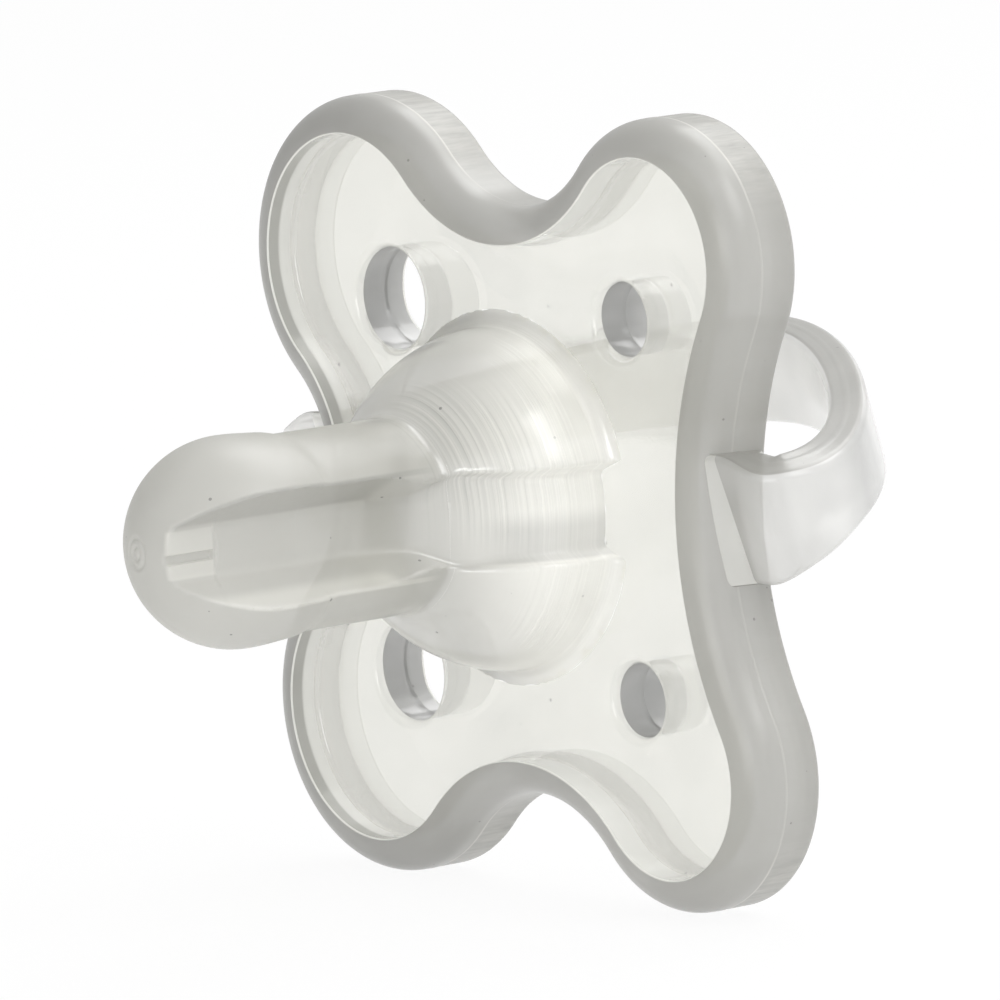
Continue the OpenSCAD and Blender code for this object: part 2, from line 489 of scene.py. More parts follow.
def speck_group() -> bpy.types.NodeTree:
    """Scattered dust specks and pin-prick pits.

    Returns:
        The group.
    """
    made = Group("dust_specks", {"Spread": 420.0, "Size": 0.1, "Share": 0.45},
                 ["Specks", "Height"])
    nodes, given = made.nodes, made.given
    cells = nodes.add("ShaderNodeTexVoronoi", feature="F1", Vector=given["Position"],
                      Scale=given["Spread"]).outputs
    pick = nodes.add("ShaderNodeSeparateColor", Color=cells["Color"]).outputs
    chosen = nodes.math("LESS_THAN", pick[0], given["Share"])
    near = nodes.math("LESS_THAN", cells["Distance"], nodes.times(given["Size"], pick[1]))
    mask = nodes.times(chosen, near)
    return made.put_out(Specks=mask, Height=nodes.times(mask, -1.0))


def rings_and_light_group() -> bpy.types.NodeTree:
    """Fine rings round the teat's axis, left by the turned mould, with the dome's polish and
    painted sheen and the groove's painted shade and highlights.

    Returns:
        The group.
    """
    patch_share = (0.42, 0.62)
    ring_start, ring_full = -0.012, -0.0075
    polish_start, polish_full, tip_polish = -0.0135, -0.0095, 0.1
    sheen_start, sheen_full = -0.005, 0.007
    made = Group("rings_and_painted_light", {"Pitch": 900.0, "Break": 90.0, "Depth": 1.0},
                 ["Rings", "Height", "Polish", "Thin", "Tint"])
    nodes, given = made.nodes, made.given
    x, y, z = nodes.split(given["Position"])
    line = nodes.add("ShaderNodeTexNoise", noise_dimensions="1D", W=nodes.times(y, given["Pitch"]),
                     Detail=3.0, Roughness=0.7).outputs["Fac"]
    patch = nodes.add("ShaderNodeTexNoise", Vector=given["Position"], Scale=given["Break"],
                      Detail=1.0).outputs["Fac"]
    mask = nodes.times(nodes.rise(patch, *patch_share), nodes.rise(y, ring_start, ring_full))
    rings = nodes.times(nodes.minus(line, 0.5), mask)
    polish = nodes.remap(y, polish_start, polish_full, tip_polish, 1.0)
    # Painted sheen: the dome is painted lighter, and made clearer, towards its chin side.
    thin = nodes.rise(nodes.math("ADD", x, y), sheen_start, sheen_full)
    return made.put_out(Rings=rings, Height=nodes.times(rings, given["Depth"]), Polish=polish,
                        Thin=nodes.times(thin, polish), Tint=groove_painted_light(nodes, x, y, z))


def groove_painted_light(nodes: Nodes, x: Socket, y: Socket, z: Socket) -> Socket:
    """Painted shade and highlights in the groove, its window and round the dome's foot.

    Args:
        nodes: Helper of the tree that the nodes go into.
        x: Place across the shield, which is the height in the groove.
        y: Place along the teat, below zero in front of the plate.
        z: Place across the groove.

    Returns:
        A value below zero where the silicone looks darker, and above it where lighter.
    """
    high = nodes.math("ABSOLUTE", z)

    # Painted shade on the groove's upper wall and a painted highlight along its lower lip, over
    # the neck and bulb.
    wall_slope, wall_foot, wall_full, wall_end = 0.58, 0.00038, 0.0001, 0.00035
    wall_low, wall_high, neck_start, neck_full = 0.0015, 0.0022, -0.0095, -0.0115
    from_wall = nodes.times_plus(x, -wall_slope, nodes.minus(high, wall_foot))
    from_wall = nodes.math("ABSOLUTE", from_wall)
    lit_lower = nodes.rise(z, -0.0024, -0.003, 1.6)
    shaded_upper = nodes.rise(z, 0.0016, 0.0019)
    side = nodes.times(nodes.minus(lit_lower, shaded_upper), nodes.rise(y, neck_start, neck_full))
    wall = nodes.times(nodes.times(nodes.fall(from_wall, wall_full, wall_end),
                                   nodes.rise(x, wall_low, wall_high)), side)

    # Painted light in the window at the groove's end.
    window_y, window_light, window_z = (-0.0249, -0.0251), 1.2, (0.0016, 0.0014)
    window_top, window_bottom = (0.0034, 0.003), (0.0015, 0.0018)
    window = nodes.times(nodes.rise(y, *window_y, window_light), nodes.rise(high, *window_z),
                         nodes.rise(x, *window_top), nodes.rise(x, *window_bottom))

    # Painted shade on the lower part of the groove's floor over the dome.
    floor_z, floor_shade = (0.0006, -0.001), -3.4
    floor_edge, dome_x = (-0.0029, -0.0027), (0.006, 0.0085)
    floor = nodes.times(nodes.rise(z, *floor_z, floor_shade), nodes.rise(z, *floor_edge),
                        nodes.rise(x, *dome_x))

    # Painted shade round the dome's foot, where it meets the plate.
    foot_y, foot_shade = (-0.0008, -0.0004), -0.7
    foot = nodes.rise(y, *foot_y, foot_shade)
    return nodes.math("ADD", nodes.math("ADD", wall, window), nodes.math("ADD", floor, foot))


def scuff_group() -> bpy.types.NodeTree:
    """Cross striations and the parting line on the rear of the wall at the lobes' tops.

    Returns:
        The group.
    """
    rear_start, rear_full = 0.0003, 0.0006
    lobe_start, lobe_full, elsewhere = 0.019, 0.0225, 0.1
    seam_y, seam_full, seam_end = 0.0004, 0.00005, 0.00012
    streak_tone, mask_tone, seam_rise, seam_least = 1.6, 0.2, 0.7, 0.15
    made = Group("mould_scuff", {"Pitch": 2600.0, "Length": 250.0}, ["Mask", "Height", "Tone"])
    nodes, given = made.nodes, made.given
    x, y, z = nodes.split(given["Position"])
    high = nodes.remap(nodes.math("ABSOLUTE", z), lobe_start, lobe_full, elsewhere, 1.0)
    mask = nodes.times(nodes.rise(y, rear_start, rear_full), high)
    lay = nodes.add("ShaderNodeCombineXYZ", X=nodes.times(x, given["Pitch"]),
                    Y=nodes.times(y, given["Length"]), Z=nodes.times(z, 300.0)).outputs[0]
    lines = nodes.add("ShaderNodeTexNoise", Vector=lay, Scale=1.0, Detail=3.0,
                      Roughness=0.7).outputs["Fac"]
    streak = nodes.times(nodes.minus(lines, 0.5), mask)
    seam = nodes.fall(nodes.math("ABSOLUTE", nodes.minus(y, seam_y)), seam_full, seam_end)
    seam = nodes.times(seam, nodes.times_plus(high, seam_rise, seam_least))
    tone = nodes.times_plus(streak, streak_tone, nodes.times(mask, mask_tone))
    return made.put_out(Mask=mask, Height=streak, Tone=nodes.math("ADD", tone, seam))


@dataclass(frozen=True)
class Silicone:
    """Milky clear silicone as it looks on one region of the moulding.

    Attributes:
        name: The material's name.
        colour: Its base colour.
        clear: Share of the light that its solid part lets through.
        solid: Cover of a face seen from outside; the rest shows what lies behind.
        far_solid: Cover of a face seen from inside.
        edge: How fast the cover grows at a grazing angle.
        cloud: Light and dark of the clouding.
        cloud_clear: How much clearer the clouding's light parts are.
        roughness: Roughness in the middle of the mottle.
        rough_spread: How much the mottle changes it.
        grain: Height of the mottle.
        relief: Metres that a height of 1 stands for.
        bend: Index of refraction.
        edge_bend: Index that the cover at grazing angles follows.
        coat: Weight of the gloss on top.
        coat_roughness: Its roughness.
        coat_ior: Its index of refraction.
        speck: How dark the dust specks are.
        speck_spread: How close together they lie.
        speck_size: Their size, as a share of their spacing.
        speck_relief: Depth of the pits that they lie in.
        rings: Height of the turned rings; 0 for a region with none.
        ring_tone: Light and dark of the rings: their own marks, partly painted streaks of sheen.
        glow: How much lighter the chin side of the dome is painted: a painted sheen, as of light
            coming through from behind.
        dome_clear: How much clearer it is.
        tint: Strength of the painted shade and highlights in the groove, its window and round the
            dome's foot.
        scuff: Height of the mould's striations; 0 for a region with none.
        scuff_rough: How much rougher they are.
        scuff_tone: Light and dark of the striations and the parting line.
        nose_painted_light: Painted light on the nose side: how much lighter it is painted, below
            zero for painted shade; 0 for a region without it.
        left_clear: How much clearer it is.
        left_x: Where that starts and is full, across the shield.
        left_y: Where that starts and is full, along the depth.
        bend_shade: How much darker the bend behind the chin-side root is.
        bend_x: Where that starts and is full, across the shield.
        bend_y: Where that starts and is full, along the depth.
    """

    name: str
    colour: tuple[float, float, float] = (0.80, 0.80, 0.77)
    clear: float = 0.35
    solid: float = 0.8
    far_solid: float = 0.25
    edge: float = 2.2
    cloud: float = 0.05
    cloud_clear: float = 0.1
    roughness: float = 0.2
    rough_spread: float = 0.1
    grain: float = 0.15
    relief: float = 0.00002
    bend: float = 1.41
    edge_bend: float = 1.5
    coat: float = 0.8
    coat_roughness: float = 0.12
    coat_ior: float = 1.45
    speck: float = 0.25
    speck_spread: float = 650.0
    speck_size: float = 0.08
    speck_relief: float = 0.3
    rings: float = 0.0
    ring_tone: float = 1.0
    glow: float = 0.6
    dome_clear: float = 0.12
    tint: float = 0.2
    scuff: float = 0.0
    scuff_rough: float = 0.2
    scuff_tone: float = 0.6
    nose_painted_light: float = 0.0
    left_clear: float = 0.0
    left_x: Pair = (0.008, -0.012)
    left_y: Pair = (0.0, -0.0008)
    bend_shade: float = 0.0
    bend_x: Pair = (0.0205, 0.023)
    bend_y: Pair = (0.0035, 0.009)

    def material(self) -> bpy.types.Material:
        """Builds the finish as a node material.

        Returns:
            The material.
        """
        made, nodes, shader = new_material(self.name)
        place = nodes.add("ShaderNodeTexCoord").outputs["Object"]
        milky = nodes.shared("milky_clouding", clouding_group, place)
        specks = nodes.shared("dust_specks", speck_group, place,
                              Spread=self.speck_spread, Size=self.speck_size)
        tone = nodes.times_plus(nodes.minus(milky["Cloud"], 0.5), self.cloud * 2.0, 1.0)
        tone = nodes.times_plus(specks["Specks"], -self.speck, tone)
        height = nodes.times(milky["Mottle"], self.grain)
        height = nodes.times_plus(specks["Height"], self.speck_relief, height)
        rough = nodes.times_plus(nodes.minus(milky["Mottle"], 0.5), self.rough_spread,
                                 self.roughness)
        cover = nodes.times_plus(milky["Cloud"], -self.cloud_clear,
                                 self.solid + self.cloud_clear / 2.0)
        self.set_constants(nodes, shader)
        if self.bend_shade:
            bend = self.mask(nodes, place, self.bend_x, self.bend_y)
            tone = nodes.times_plus(bend, -self.bend_shade, tone)
        if self.rings:
            turned = nodes.shared("rings_and_painted_light", rings_and_light_group, place, Depth=self.rings)
            height = nodes.math("ADD", height, turned["Height"])
            # The rings' own light and dark, partly painted streaks of sheen, the groove's painted
            # shade and highlights and the dome's painted sheen all go into the colour.
            for key, share in (("Rings", self.ring_tone), ("Tint", self.tint),
                               ("Thin", self.glow)):
                tone = nodes.times_plus(turned[key], share, tone)
            cover = nodes.times_plus(turned["Thin"], -self.dome_clear, cover)
            nodes.put(shader.inputs["Coat Weight"], nodes.times(turned["Polish"], self.coat))
        if self.scuff:
            worn = nodes.shared("mould_scuff", scuff_group, place)
            height = nodes.times_plus(worn["Height"], self.scuff, height)
            rough = nodes.times_plus(worn["Mask"], self.scuff_rough, rough)
            tone = nodes.times_plus(worn["Tone"], self.scuff_tone, tone)
        # Painted light on the nose side, below zero for painted shade; that side is also made more
        # or less clear.
        if self.nose_painted_light:
            left = self.mask(nodes, place, self.left_x, self.left_y)
            tone = nodes.times_plus(left, self.nose_painted_light, tone)
            cover = nodes.times_plus(left, -self.left_clear, cover)
        self.paint(nodes, shader, tone)
        nodes.put(shader.inputs["Roughness"], rough)
        bump = nodes.add("ShaderNodeBump", Strength=1.0, Distance=self.relief, Height=height)
        nodes.put(shader.inputs["Normal"], bump.outputs["Normal"])
        self.see_through(nodes, shader, cover)
        return made

    def mask(self, nodes: Nodes, place: Socket, across: Pair, deep: Pair) -> Socket:
        """Mask of a part of the surface.

        Args:
            nodes: Helper of the tree that the nodes go into.
            place: The surface's place.
            across: Where the mask starts and is full in X.
            deep: Where it starts and is full in Y.

        Returns:
            The mask's value.
        """
        x, y, _ = nodes.split(place)
        return nodes.times(nodes.rise(x, *across), nodes.rise(y, *deep))

    def paint(self, nodes: Nodes, shader: bpy.types.Node, tone: Socket) -> None:
        """Colours the shader.

        Args:
            nodes: Helper of the material's tree.
            shader: The material's shader.
            tone: What the colour is multiplied by.
        """
        grey = nodes.add("ShaderNodeCombineColor", Red=tone, Green=tone, Blue=tone)
        paint = nodes.add("ShaderNodeMix", data_type="RGBA", blend_type="MULTIPLY", Factor=1.0,
                          A=(*self.colour, 1.0), B=grey.outputs[0])
        nodes.put(shader.inputs["Base Color"], paint.outputs["Result"])

    def see_through(self, nodes: Nodes, shader: bpy.types.Node, cover: Socket) -> None:
        """Makes the shader cover less where the silicone is clear.

        Args:
            nodes: Helper of the material's tree.
            shader: The material's shader.
            cover: Cover of a face seen straight from outside.
        """
        inside = nodes.add("ShaderNodeNewGeometry").outputs["Backfacing"]
        grazing = nodes.add("ShaderNodeFresnel", IOR=self.edge_bend).outputs[0]
        cover = nodes.times_plus(nodes.times(grazing, self.edge), nodes.minus(1.0, cover), cover)
        side = nodes.add("ShaderNodeMix", data_type="FLOAT", Factor=inside, A=cover,
                         B=self.far_solid)
        nodes.put(shader.inputs["Alpha"], nodes.math("MINIMUM", side.outputs["Result"], 1.0))

    def set_constants(self, nodes: Nodes, shader: bpy.types.Node) -> None:
        """Sets the values that are the same all over the surface.

        Args:
            nodes: Helper of the material's tree.
            shader: The material's shader.
        """
        for key, value in (("IOR", self.bend), ("Transmission Weight", self.clear),
                           ("Coat Weight", self.coat), ("Coat Roughness", self.coat_roughness),
                           ("Coat IOR", self.coat_ior)):
            nodes.put(shader.inputs[key], value)

    def join(self) -> bpy.types.Material:
        """The clear face where this region runs on into the next one.

        Returns:
            The material.
        """
        made, nodes, shader = new_material(self.name + "_join")
        nodes.put(shader.inputs["Alpha"], 0.0)
        nodes.put(shader.inputs["Base Color"], (*self.colour, 1.0))
        return made


# ---------------------------------------------------------------------------
# Pieces
# ---------------------------------------------------------------------------


@dataclass
class Region:
    """One region of the moulding: a piece that stands for a node and rides on a body."""

    node: str
    body: str
    slot: str
    finish: Silicone
    trim: Silicone | None = None
    front: Silicone | None = None

    def dress(self, piece: bpy.types.Object, twist: tuple | None = None) -> bpy.types.Object:
        """Gives the piece its finishes and, unless twist points are given, its body, and hides the
        imported node that it stands for.

        Args:
            piece: The piece to dress.
            twist: Two points between the shield and the handle; when they are given, the piece's
                place is baked in and it rides on no body. The points themselves are not used.

        Returns:
            The same piece.
        """
        piece.data.materials.append(self.finish.material())
        piece.data.materials.append(self.finish.join())
        for more in (self.trim, self.front):
            if more:
                piece.data.materials.append(more.material())
        if twist:
            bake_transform(piece)
        else:
            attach(piece, self.body)
        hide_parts(self.node)
        LOG.info("%s: %d vertices on %s", piece.name, len(piece.data.vertices), self.body)
        return piece


@dataclass
class Rim:
    """Raised rim with a rounded front, a parting line and a cut rear edge."""

    outline: Outline
    region: Region
    width: float = 2.3
    front: float = 2.2
    back: float = 3.3
    land: float = 0.14
    lip: float = 0.12
    back_round: float = 0.5
    seam_from_back: float = 2.9
    seam_height: float = 0.02
    seam_width: float = 0.06
    seam_reach: float = 0.12
    plain: float = 0.3
    floor_fillet: float = 0.35
    back_land: float = 1.6
    crisp: float = 40.0

    def section(self) -> tuple[Array, int]:
        """Section of the rim: inwards from the outline, then depth behind the plate's front.

        Returns:
            The closed section and the index of the first point of the joined inner wall.
        """
        bend = self.width - self.land
        seam = self.back - self.seam_from_back
        outer = [(0.0, self.back - self.back_round - 0.02)]
        for y in np.linspace(self.back - self.back_round - self.plain, seam + self.plain, 5):
            outer.append((0.0, float(y)))
        for y in np.linspace(seam + self.seam_reach, seam - self.seam_reach, 7):
            proud = self.seam_height * math.exp(-((y - seam) / self.seam_width) ** 2)
            outer.append((-proud, float(y)))
        top = arc((bend, bend - self.front), bend, 180.0, 270.0, 14)
        lip = arc((self.width - self.lip, self.lip - self.front), self.lip, 270.0, 360.0, 4)
        inner = [(self.width, y)
                 for y in np.linspace(self.plain - self.front, -self.floor_fillet, 5)]
        joined = [(self.width, y) for y in (1.0, 2.2, self.back - 0.1, self.back)]
        rear = arc((self.back_round, self.back - self.back_round), self.back_round,
                   90.0, 180.0, 5)
        rows = outer + top.tolist() + lip.tolist() + inner
        rest = joined + [(self.back_land, self.back)] + rear.tolist()
        return np.array(rows + rest), len(rows) - 1

    def build(self) -> bpy.types.Object:
        """Sweeps the section round the outline.

        Returns:
            The dressed piece.
        """
        section, start = self.section()
        rows, across = len(self.outline.points), len(section)
        flat = (self.outline.points[:, None, :]
                + section[None, :, :1] * self.outline.inward[:, None, :])
        depth = np.broadcast_to(section[None, :, 1:], (rows, across, 1))
        points = np.concatenate([flat[:, :, :1], depth, flat[:, :, 1:]], axis=2).reshape(-1, 3)
        faces = sweep(rows, across, closed=True)
        # Steps of the section, counted from where the inner wall joins the plate.
        lip, wall, joined = (strips(0, len(faces), across, range(start + low, start + high))
                             for low, high in ((-8, -5), (-5, 0), (0, 3)))
        # The lip takes a painted highlight line along the inner front edge, and the inner wall a
        # much lighter trim, which is painted light.
        return self.region.dress(new_object("rim", points, faces, joined, wall, lip, self.crisp))


@dataclass
class Teat:
    """Domed root, grooved neck and round bulb, cut from one smooth field.

    The field's first axis is X, its second runs out of the plate, and its third is Z. It is
    drawn on a grid of cells, and details are the places where the mesh gets finer, with how
    far: the rings on the tip and the bar in the window.
    """

    regions: dict[str, Region]
    dome_r: float = 10.95
    flare: float = 1.0
    neck_r: float = 6.2
    neck_end: float = 18.6
    bulb_r: float = 6.65
    length: float = 28.75
    shoulder: float = 0.9
    shoulder_run: float = 1.6
    shoulder_share: float = 0.45
    neck_fillet: float = 0.5
    groove_half: float = 3.05
    groove_floor: float = 2.1
    groove_flat: float = 1.6
    groove_side: float = 0.58
    groove_soft: float = 0.35
    groove_flare: float = 0.5
    groove_dome: float = 1.3
    groove_rise: float = 6.5
    dome_soft: float = 0.3
    dome_from: float = 12.5
    dome_run: float = 4.5
    lip: float = 0.16
    tip_mark_x: float = -1.1
    tip_mark: float = 0.1
    tip_rings: tuple[Pair, Pair] = ((0.95, 0.13), (0.4, 0.12))
    tip_from: float = 26.5
    tip_run: float = 0.5
    window_out: float = 28.9
    window_r: float = 4.2
    window_step: float = 0.16
    window_edge: float = 0.12
    bar_half: float = 0.33
    bar_z: float = -0.25
    bar_from: float = 24.95
    bar_depth: float = 0.4
    bar_edge: float = 0.1
    step: float = 0.2
    low: Place = (-12.5, -0.6, -12.5)
    size: tuple[int, int, int] = (127, 150, 127)
    details: tuple[tuple[Place, float], ...] = (
        ((-1.1, 28.4, 0.0), 1.6), ((2.4, 26.2, -0.1), 2.3))
    cap_gap: float = 0.002
    beyond: float = 40.0
    crisp: float = 55.0

    def distance(self, points: Array) -> Array:
        """Signed field of the whole teat.

        Args:
            points: Places in the field, along the last axis.

        Returns:
            The field's values, below zero inside the teat.
        """
        x, out, z = points[..., 0], points[..., 1], points[..., 2]
        round_r = np.hypot(x, z)
        dome = np.sqrt(round_r ** 2 + out ** 2) - self.dome_r
        dome = round_union(dome, out, self.flare)
        mid = self.length - self.bulb_r
        past, full = (place - self.neck_end + self.shoulder for place in (out, mid))
        swell = (self.shoulder_share * ease(past / self.shoulder_run)
                 + (1.0 - self.shoulder_share) * ease(past / full))
        stem = round_r - (self.neck_r + (self.bulb_r - self.neck_r) * swell)
        ball = np.sqrt(round_r ** 2 + (out - mid) ** 2) - self.bulb_r
        body = np.where(out > mid, ball, stem)
        body = round_union(body, dome, self.neck_fillet)
        mark = np.hypot(x - self.tip_mark_x, z)
        rings = sum(np.exp(-((mark - radius) / width) ** 2) for radius, width in self.tip_rings)
        body = body + self.tip_mark * rings * ease((out - self.tip_from) / self.tip_run)
        return round_meet(body, -self.groove(x, out, z, body), self.lip)

    def groove(self, x: Array, out: Array, z: Array, body: Array) -> Array:
        """Signed field of the groove: a flat-floored valley that turns shallow over the dome.

        Args:
            x: First axis of the places.
            out: Second axis of the places.
            z: Third axis of the places.
            body: Field of the teat before it is cut.

        Returns:
            The field's values, below zero inside the groove.
        """
        ball = np.sqrt(x ** 2 + out ** 2 + z ** 2) - (self.dome_r - self.groove_dome)
        height = round_union(x - self.groove_floor, ball, self.groove_rise)
        lens = self.window_r - np.hypot(out - self.window_out, z)
        height = height + self.window_step * ease(lens / self.window_edge)
        bar = np.minimum(self.bar_half - np.abs(z - self.bar_z), out - self.bar_from)
        height = height + self.bar_depth * ease(bar / self.bar_edge)
        across = np.abs(z)
        slope = (across - self.groove_flat - self.groove_side * height) / math.hypot(
            1.0, self.groove_side)
        flare = (across - self.groove_half - self.groove_flare * body) / math.hypot(
            1.0, self.groove_flare)
        valley = round_meet(-height, slope, self.groove_soft)
        shallow = round_meet(-height, flare, self.dome_soft)
        return valley + (shallow - valley) * ease((self.dome_from - out) / self.dome_run)

    def net(self) -> tuple[Array, Faces]:
        """Draws the field's surface as a mesh of quads, one vertex in each crossed cell.

        Returns:
            The vertices and the quads.
        """
        low = np.array(self.low)
        axes = [low[i] + self.step * np.arange(self.size[i]) for i in range(3)]
        field_at = self.distance(np.stack(np.meshgrid(*axes, indexing="ij"), axis=-1))
        inside = field_at < 0.0
        corners = [(i, j, k) for i in (0, 1) for j in (0, 1) for k in (0, 1)]
        cut = [slice(0, -1), slice(1, None)]
        stack = np.stack([inside[cut[i], cut[j], cut[k]] for i, j, k in corners], axis=-1)
        crossed = stack.any(axis=-1) & ~stack.all(axis=-1)
        cells = np.argwhere(crossed)
        number = np.full(crossed.shape, -1)
        number[crossed] = np.arange(len(cells))
        values = np.stack([field_at[tuple((cells + c).T)] for c in corners], axis=1)
        total, hits = np.zeros((len(cells), 3)), np.zeros((len(cells), 1))
        edges = [(a, b) for a in range(8) for b in range(a + 1, 8)
                 if sum(abs(p - q) for p, q in zip(corners[a], corners[b])) == 1]
        for a, b in edges:
            split = (values[:, a] < 0) != (values[:, b] < 0)
            share = np.where(split, values[:, a] / (values[:, a] - values[:, b] + 1e-12), 0.0)
            spot = np.array(corners[a]) + share[:, None] * (np.array(corners[b]) - corners[a])
            total += spot * split[:, None]
            hits += split[:, None]
        points = self.settle(low + self.step * (cells + total / hits), 4)
        return points, [face for axis in range(3) for face in self.quads(inside, number, axis)]

    def quads(self, inside: Array, number: Array, axis: int) -> Faces:
        """Quads that the field's surface has across the grid's edges along one axis.

        Args:
            inside: Whether each grid point is inside the teat.
            number: Each cell's vertex, or -1.
            axis: The axis.

        Returns:
            The quads.
        """
        first, second = (i for i in range(3) if i != axis)
        head, tail = [slice(None)] * 3, [slice(None)] * 3
        head[axis], tail[axis] = slice(0, -1), slice(1, None)
        flips = np.argwhere(inside[tuple(head)] != inside[tuple(tail)])
        flips = flips[(flips[:, first] > 0) & (flips[:, second] > 0)]
        corners = []
        for back_first, back_second in ((1, 1), (0, 1), (0, 0), (1, 0)):
            move = np.zeros(3, dtype=int)
            move[first], move[second] = -back_first, -back_second
            spot = flips + move
            known = (spot < np.array(number.shape)).all(axis=1)
            spot = np.minimum(spot, np.array(number.shape) - 1)
            corners.append(np.where(known, number[tuple(spot.T)], -1))
        quads = np.stack(corners, axis=1)
        return quads[(quads >= 0).all(axis=1)].tolist()

    def settle(self, points: Array, rounds: int) -> Array:
        """Brings points onto the field's surface.

        Args:
            points: Places near the surface.
            rounds: Number of steps towards it, each half a cell at most.

        Returns:
            The places on the surface.
        """
        tiny, least_slope = 0.01, 0.2
        for _ in range(rounds):
            slope = np.stack([(self.distance(points + way) - self.distance(points - way))
                              / (2.0 * tiny) for way in tiny * np.eye(3)], axis=1)
            steep = np.maximum((slope ** 2).sum(axis=1, keepdims=True), least_slope)
            move = self.distance(points)[:, None] * slope / steep
            points = points - np.clip(move, -self.step / 2.0, self.step / 2.0)
        return points

    def refine(self, whole: bmesh.types.BMesh, spot: Sequence[float], reach: float) -> None:
        """Makes the mesh finer round a detail and brings it back to the field's surface.

        Args:
            whole: The whole teat's mesh, in metres, with -Y along the teat.
            spot: The detail's place in the field.
            reach: How far from it the mesh gets finer.
        """
        centre = Vector(np.array(spot) * FLIP) * MM
        near = [e for e in whole.edges
                if ((e.verts[0].co + e.verts[1].co) / 2.0 - centre).length < reach * MM]
        bmesh.ops.subdivide_edges(whole, edges=near, cuts=2, use_grid_fill=True)
        verts = [v for v in whole.verts if (v.co - centre).length < (reach + 0.5) * MM]
        points = self.settle(np.array([v.co for v in verts]) / MM * FLIP, 3)
        for vert, place in zip(verts, points * FLIP * MM):
            vert.co = place

    def cut(self, name: str, whole: bmesh.types.BMesh, near: float,
            far: float) -> bpy.types.Object:
        """Cuts a slice of the teat between two distances from the plate and closes it.

        Args:
            name: The piece's name.
            whole: The whole teat's mesh, in metres, with -Y along the teat.
            near: Distance of the slice's start from the plate.
            far: Distance of its end from the plate, or one beyond the tip.

        Returns:
            The closed piece, which stops short of each cut so that no two caps coincide.
        """
        part = whole.copy()
        for place, normal in ((near + self.cap_gap, 1.0), (far - self.cap_gap, -1.0)):
            bmesh.ops.bisect_plane(part, geom=part.verts[:] + part.edges[:] + part.faces[:],
                                   dist=1e-8, plane_co=(0.0, -place * MM, 0.0),
                                   plane_no=(0.0, normal, 0.0), clear_outer=True)
            edges = [e for e in part.edges if e.is_boundary
                     and all(abs(v.co.y + place * MM) < 1e-7 for v in e.verts)]
            if edges:
                made = bmesh.ops.contextual_create(part, geom=edges)["faces"]
                for face in bmesh.ops.triangulate(part, faces=made)["faces"]:
                    face.material_index = Face.JOIN.value
        bmesh.ops.recalc_face_normals(part, faces=part.faces)
        mesh = bpy.data.meshes.new(name)
        part.to_mesh(mesh)
        part.free()
        return finished(mesh, self.crisp)

    def build(self) -> list[bpy.types.Object]:
        """Builds the field once and cuts the three pieces from it.

        Returns:
            The dressed pieces.
        """
        points, faces = self.net()
        mesh = bpy.data.meshes.new("teat_whole")
        mesh.from_pydata((points * FLIP * MM).tolist(), [], faces)
        whole = bmesh.new()
        whole.from_mesh(mesh)
        bpy.data.meshes.remove(mesh)
        for spot, reach in self.details:
            self.refine(whole, spot, reach)
        start = leg(self.dome_r, self.neck_r)
        cuts = {"dome": (0.0, start), "neck": (start, self.neck_end),
                "bulb": (self.neck_end, self.beyond)}
        made = [self.regions[name].dress(self.cut(name, whole, near, far))
                for name, (near, far) in cuts.items()]
        whole.free()
        return made


@dataclass
class Vent:
    """A round vent hole: its centre in the shield's plane and its radius."""

    x: float
    z: float
    radius: float

    def off(self, points: Array) -> Array:
        """How far points of the shield's plane lie from the hole's centre."""
        return np.hypot(points[:, 0] - self.x, points[:, 1] - self.z)


@dataclass
class Layout:
    """Points of one face of the plate and the loops that bound it.

    Attributes:
        flat: The points in the shield's plane.
        inside: How far each lies inside the plate's edge.
        rims: How far each lies from the nearest hole's wall, near a hole.
        edge: The loop along the plate's edge.
        holes: The loop round each hole.
        foot: The loop round the dome's foot.
    """

    flat: Array
    inside: Array
    rims: Array
    edge: list[int]
    holes: Faces
    foot: list[int]


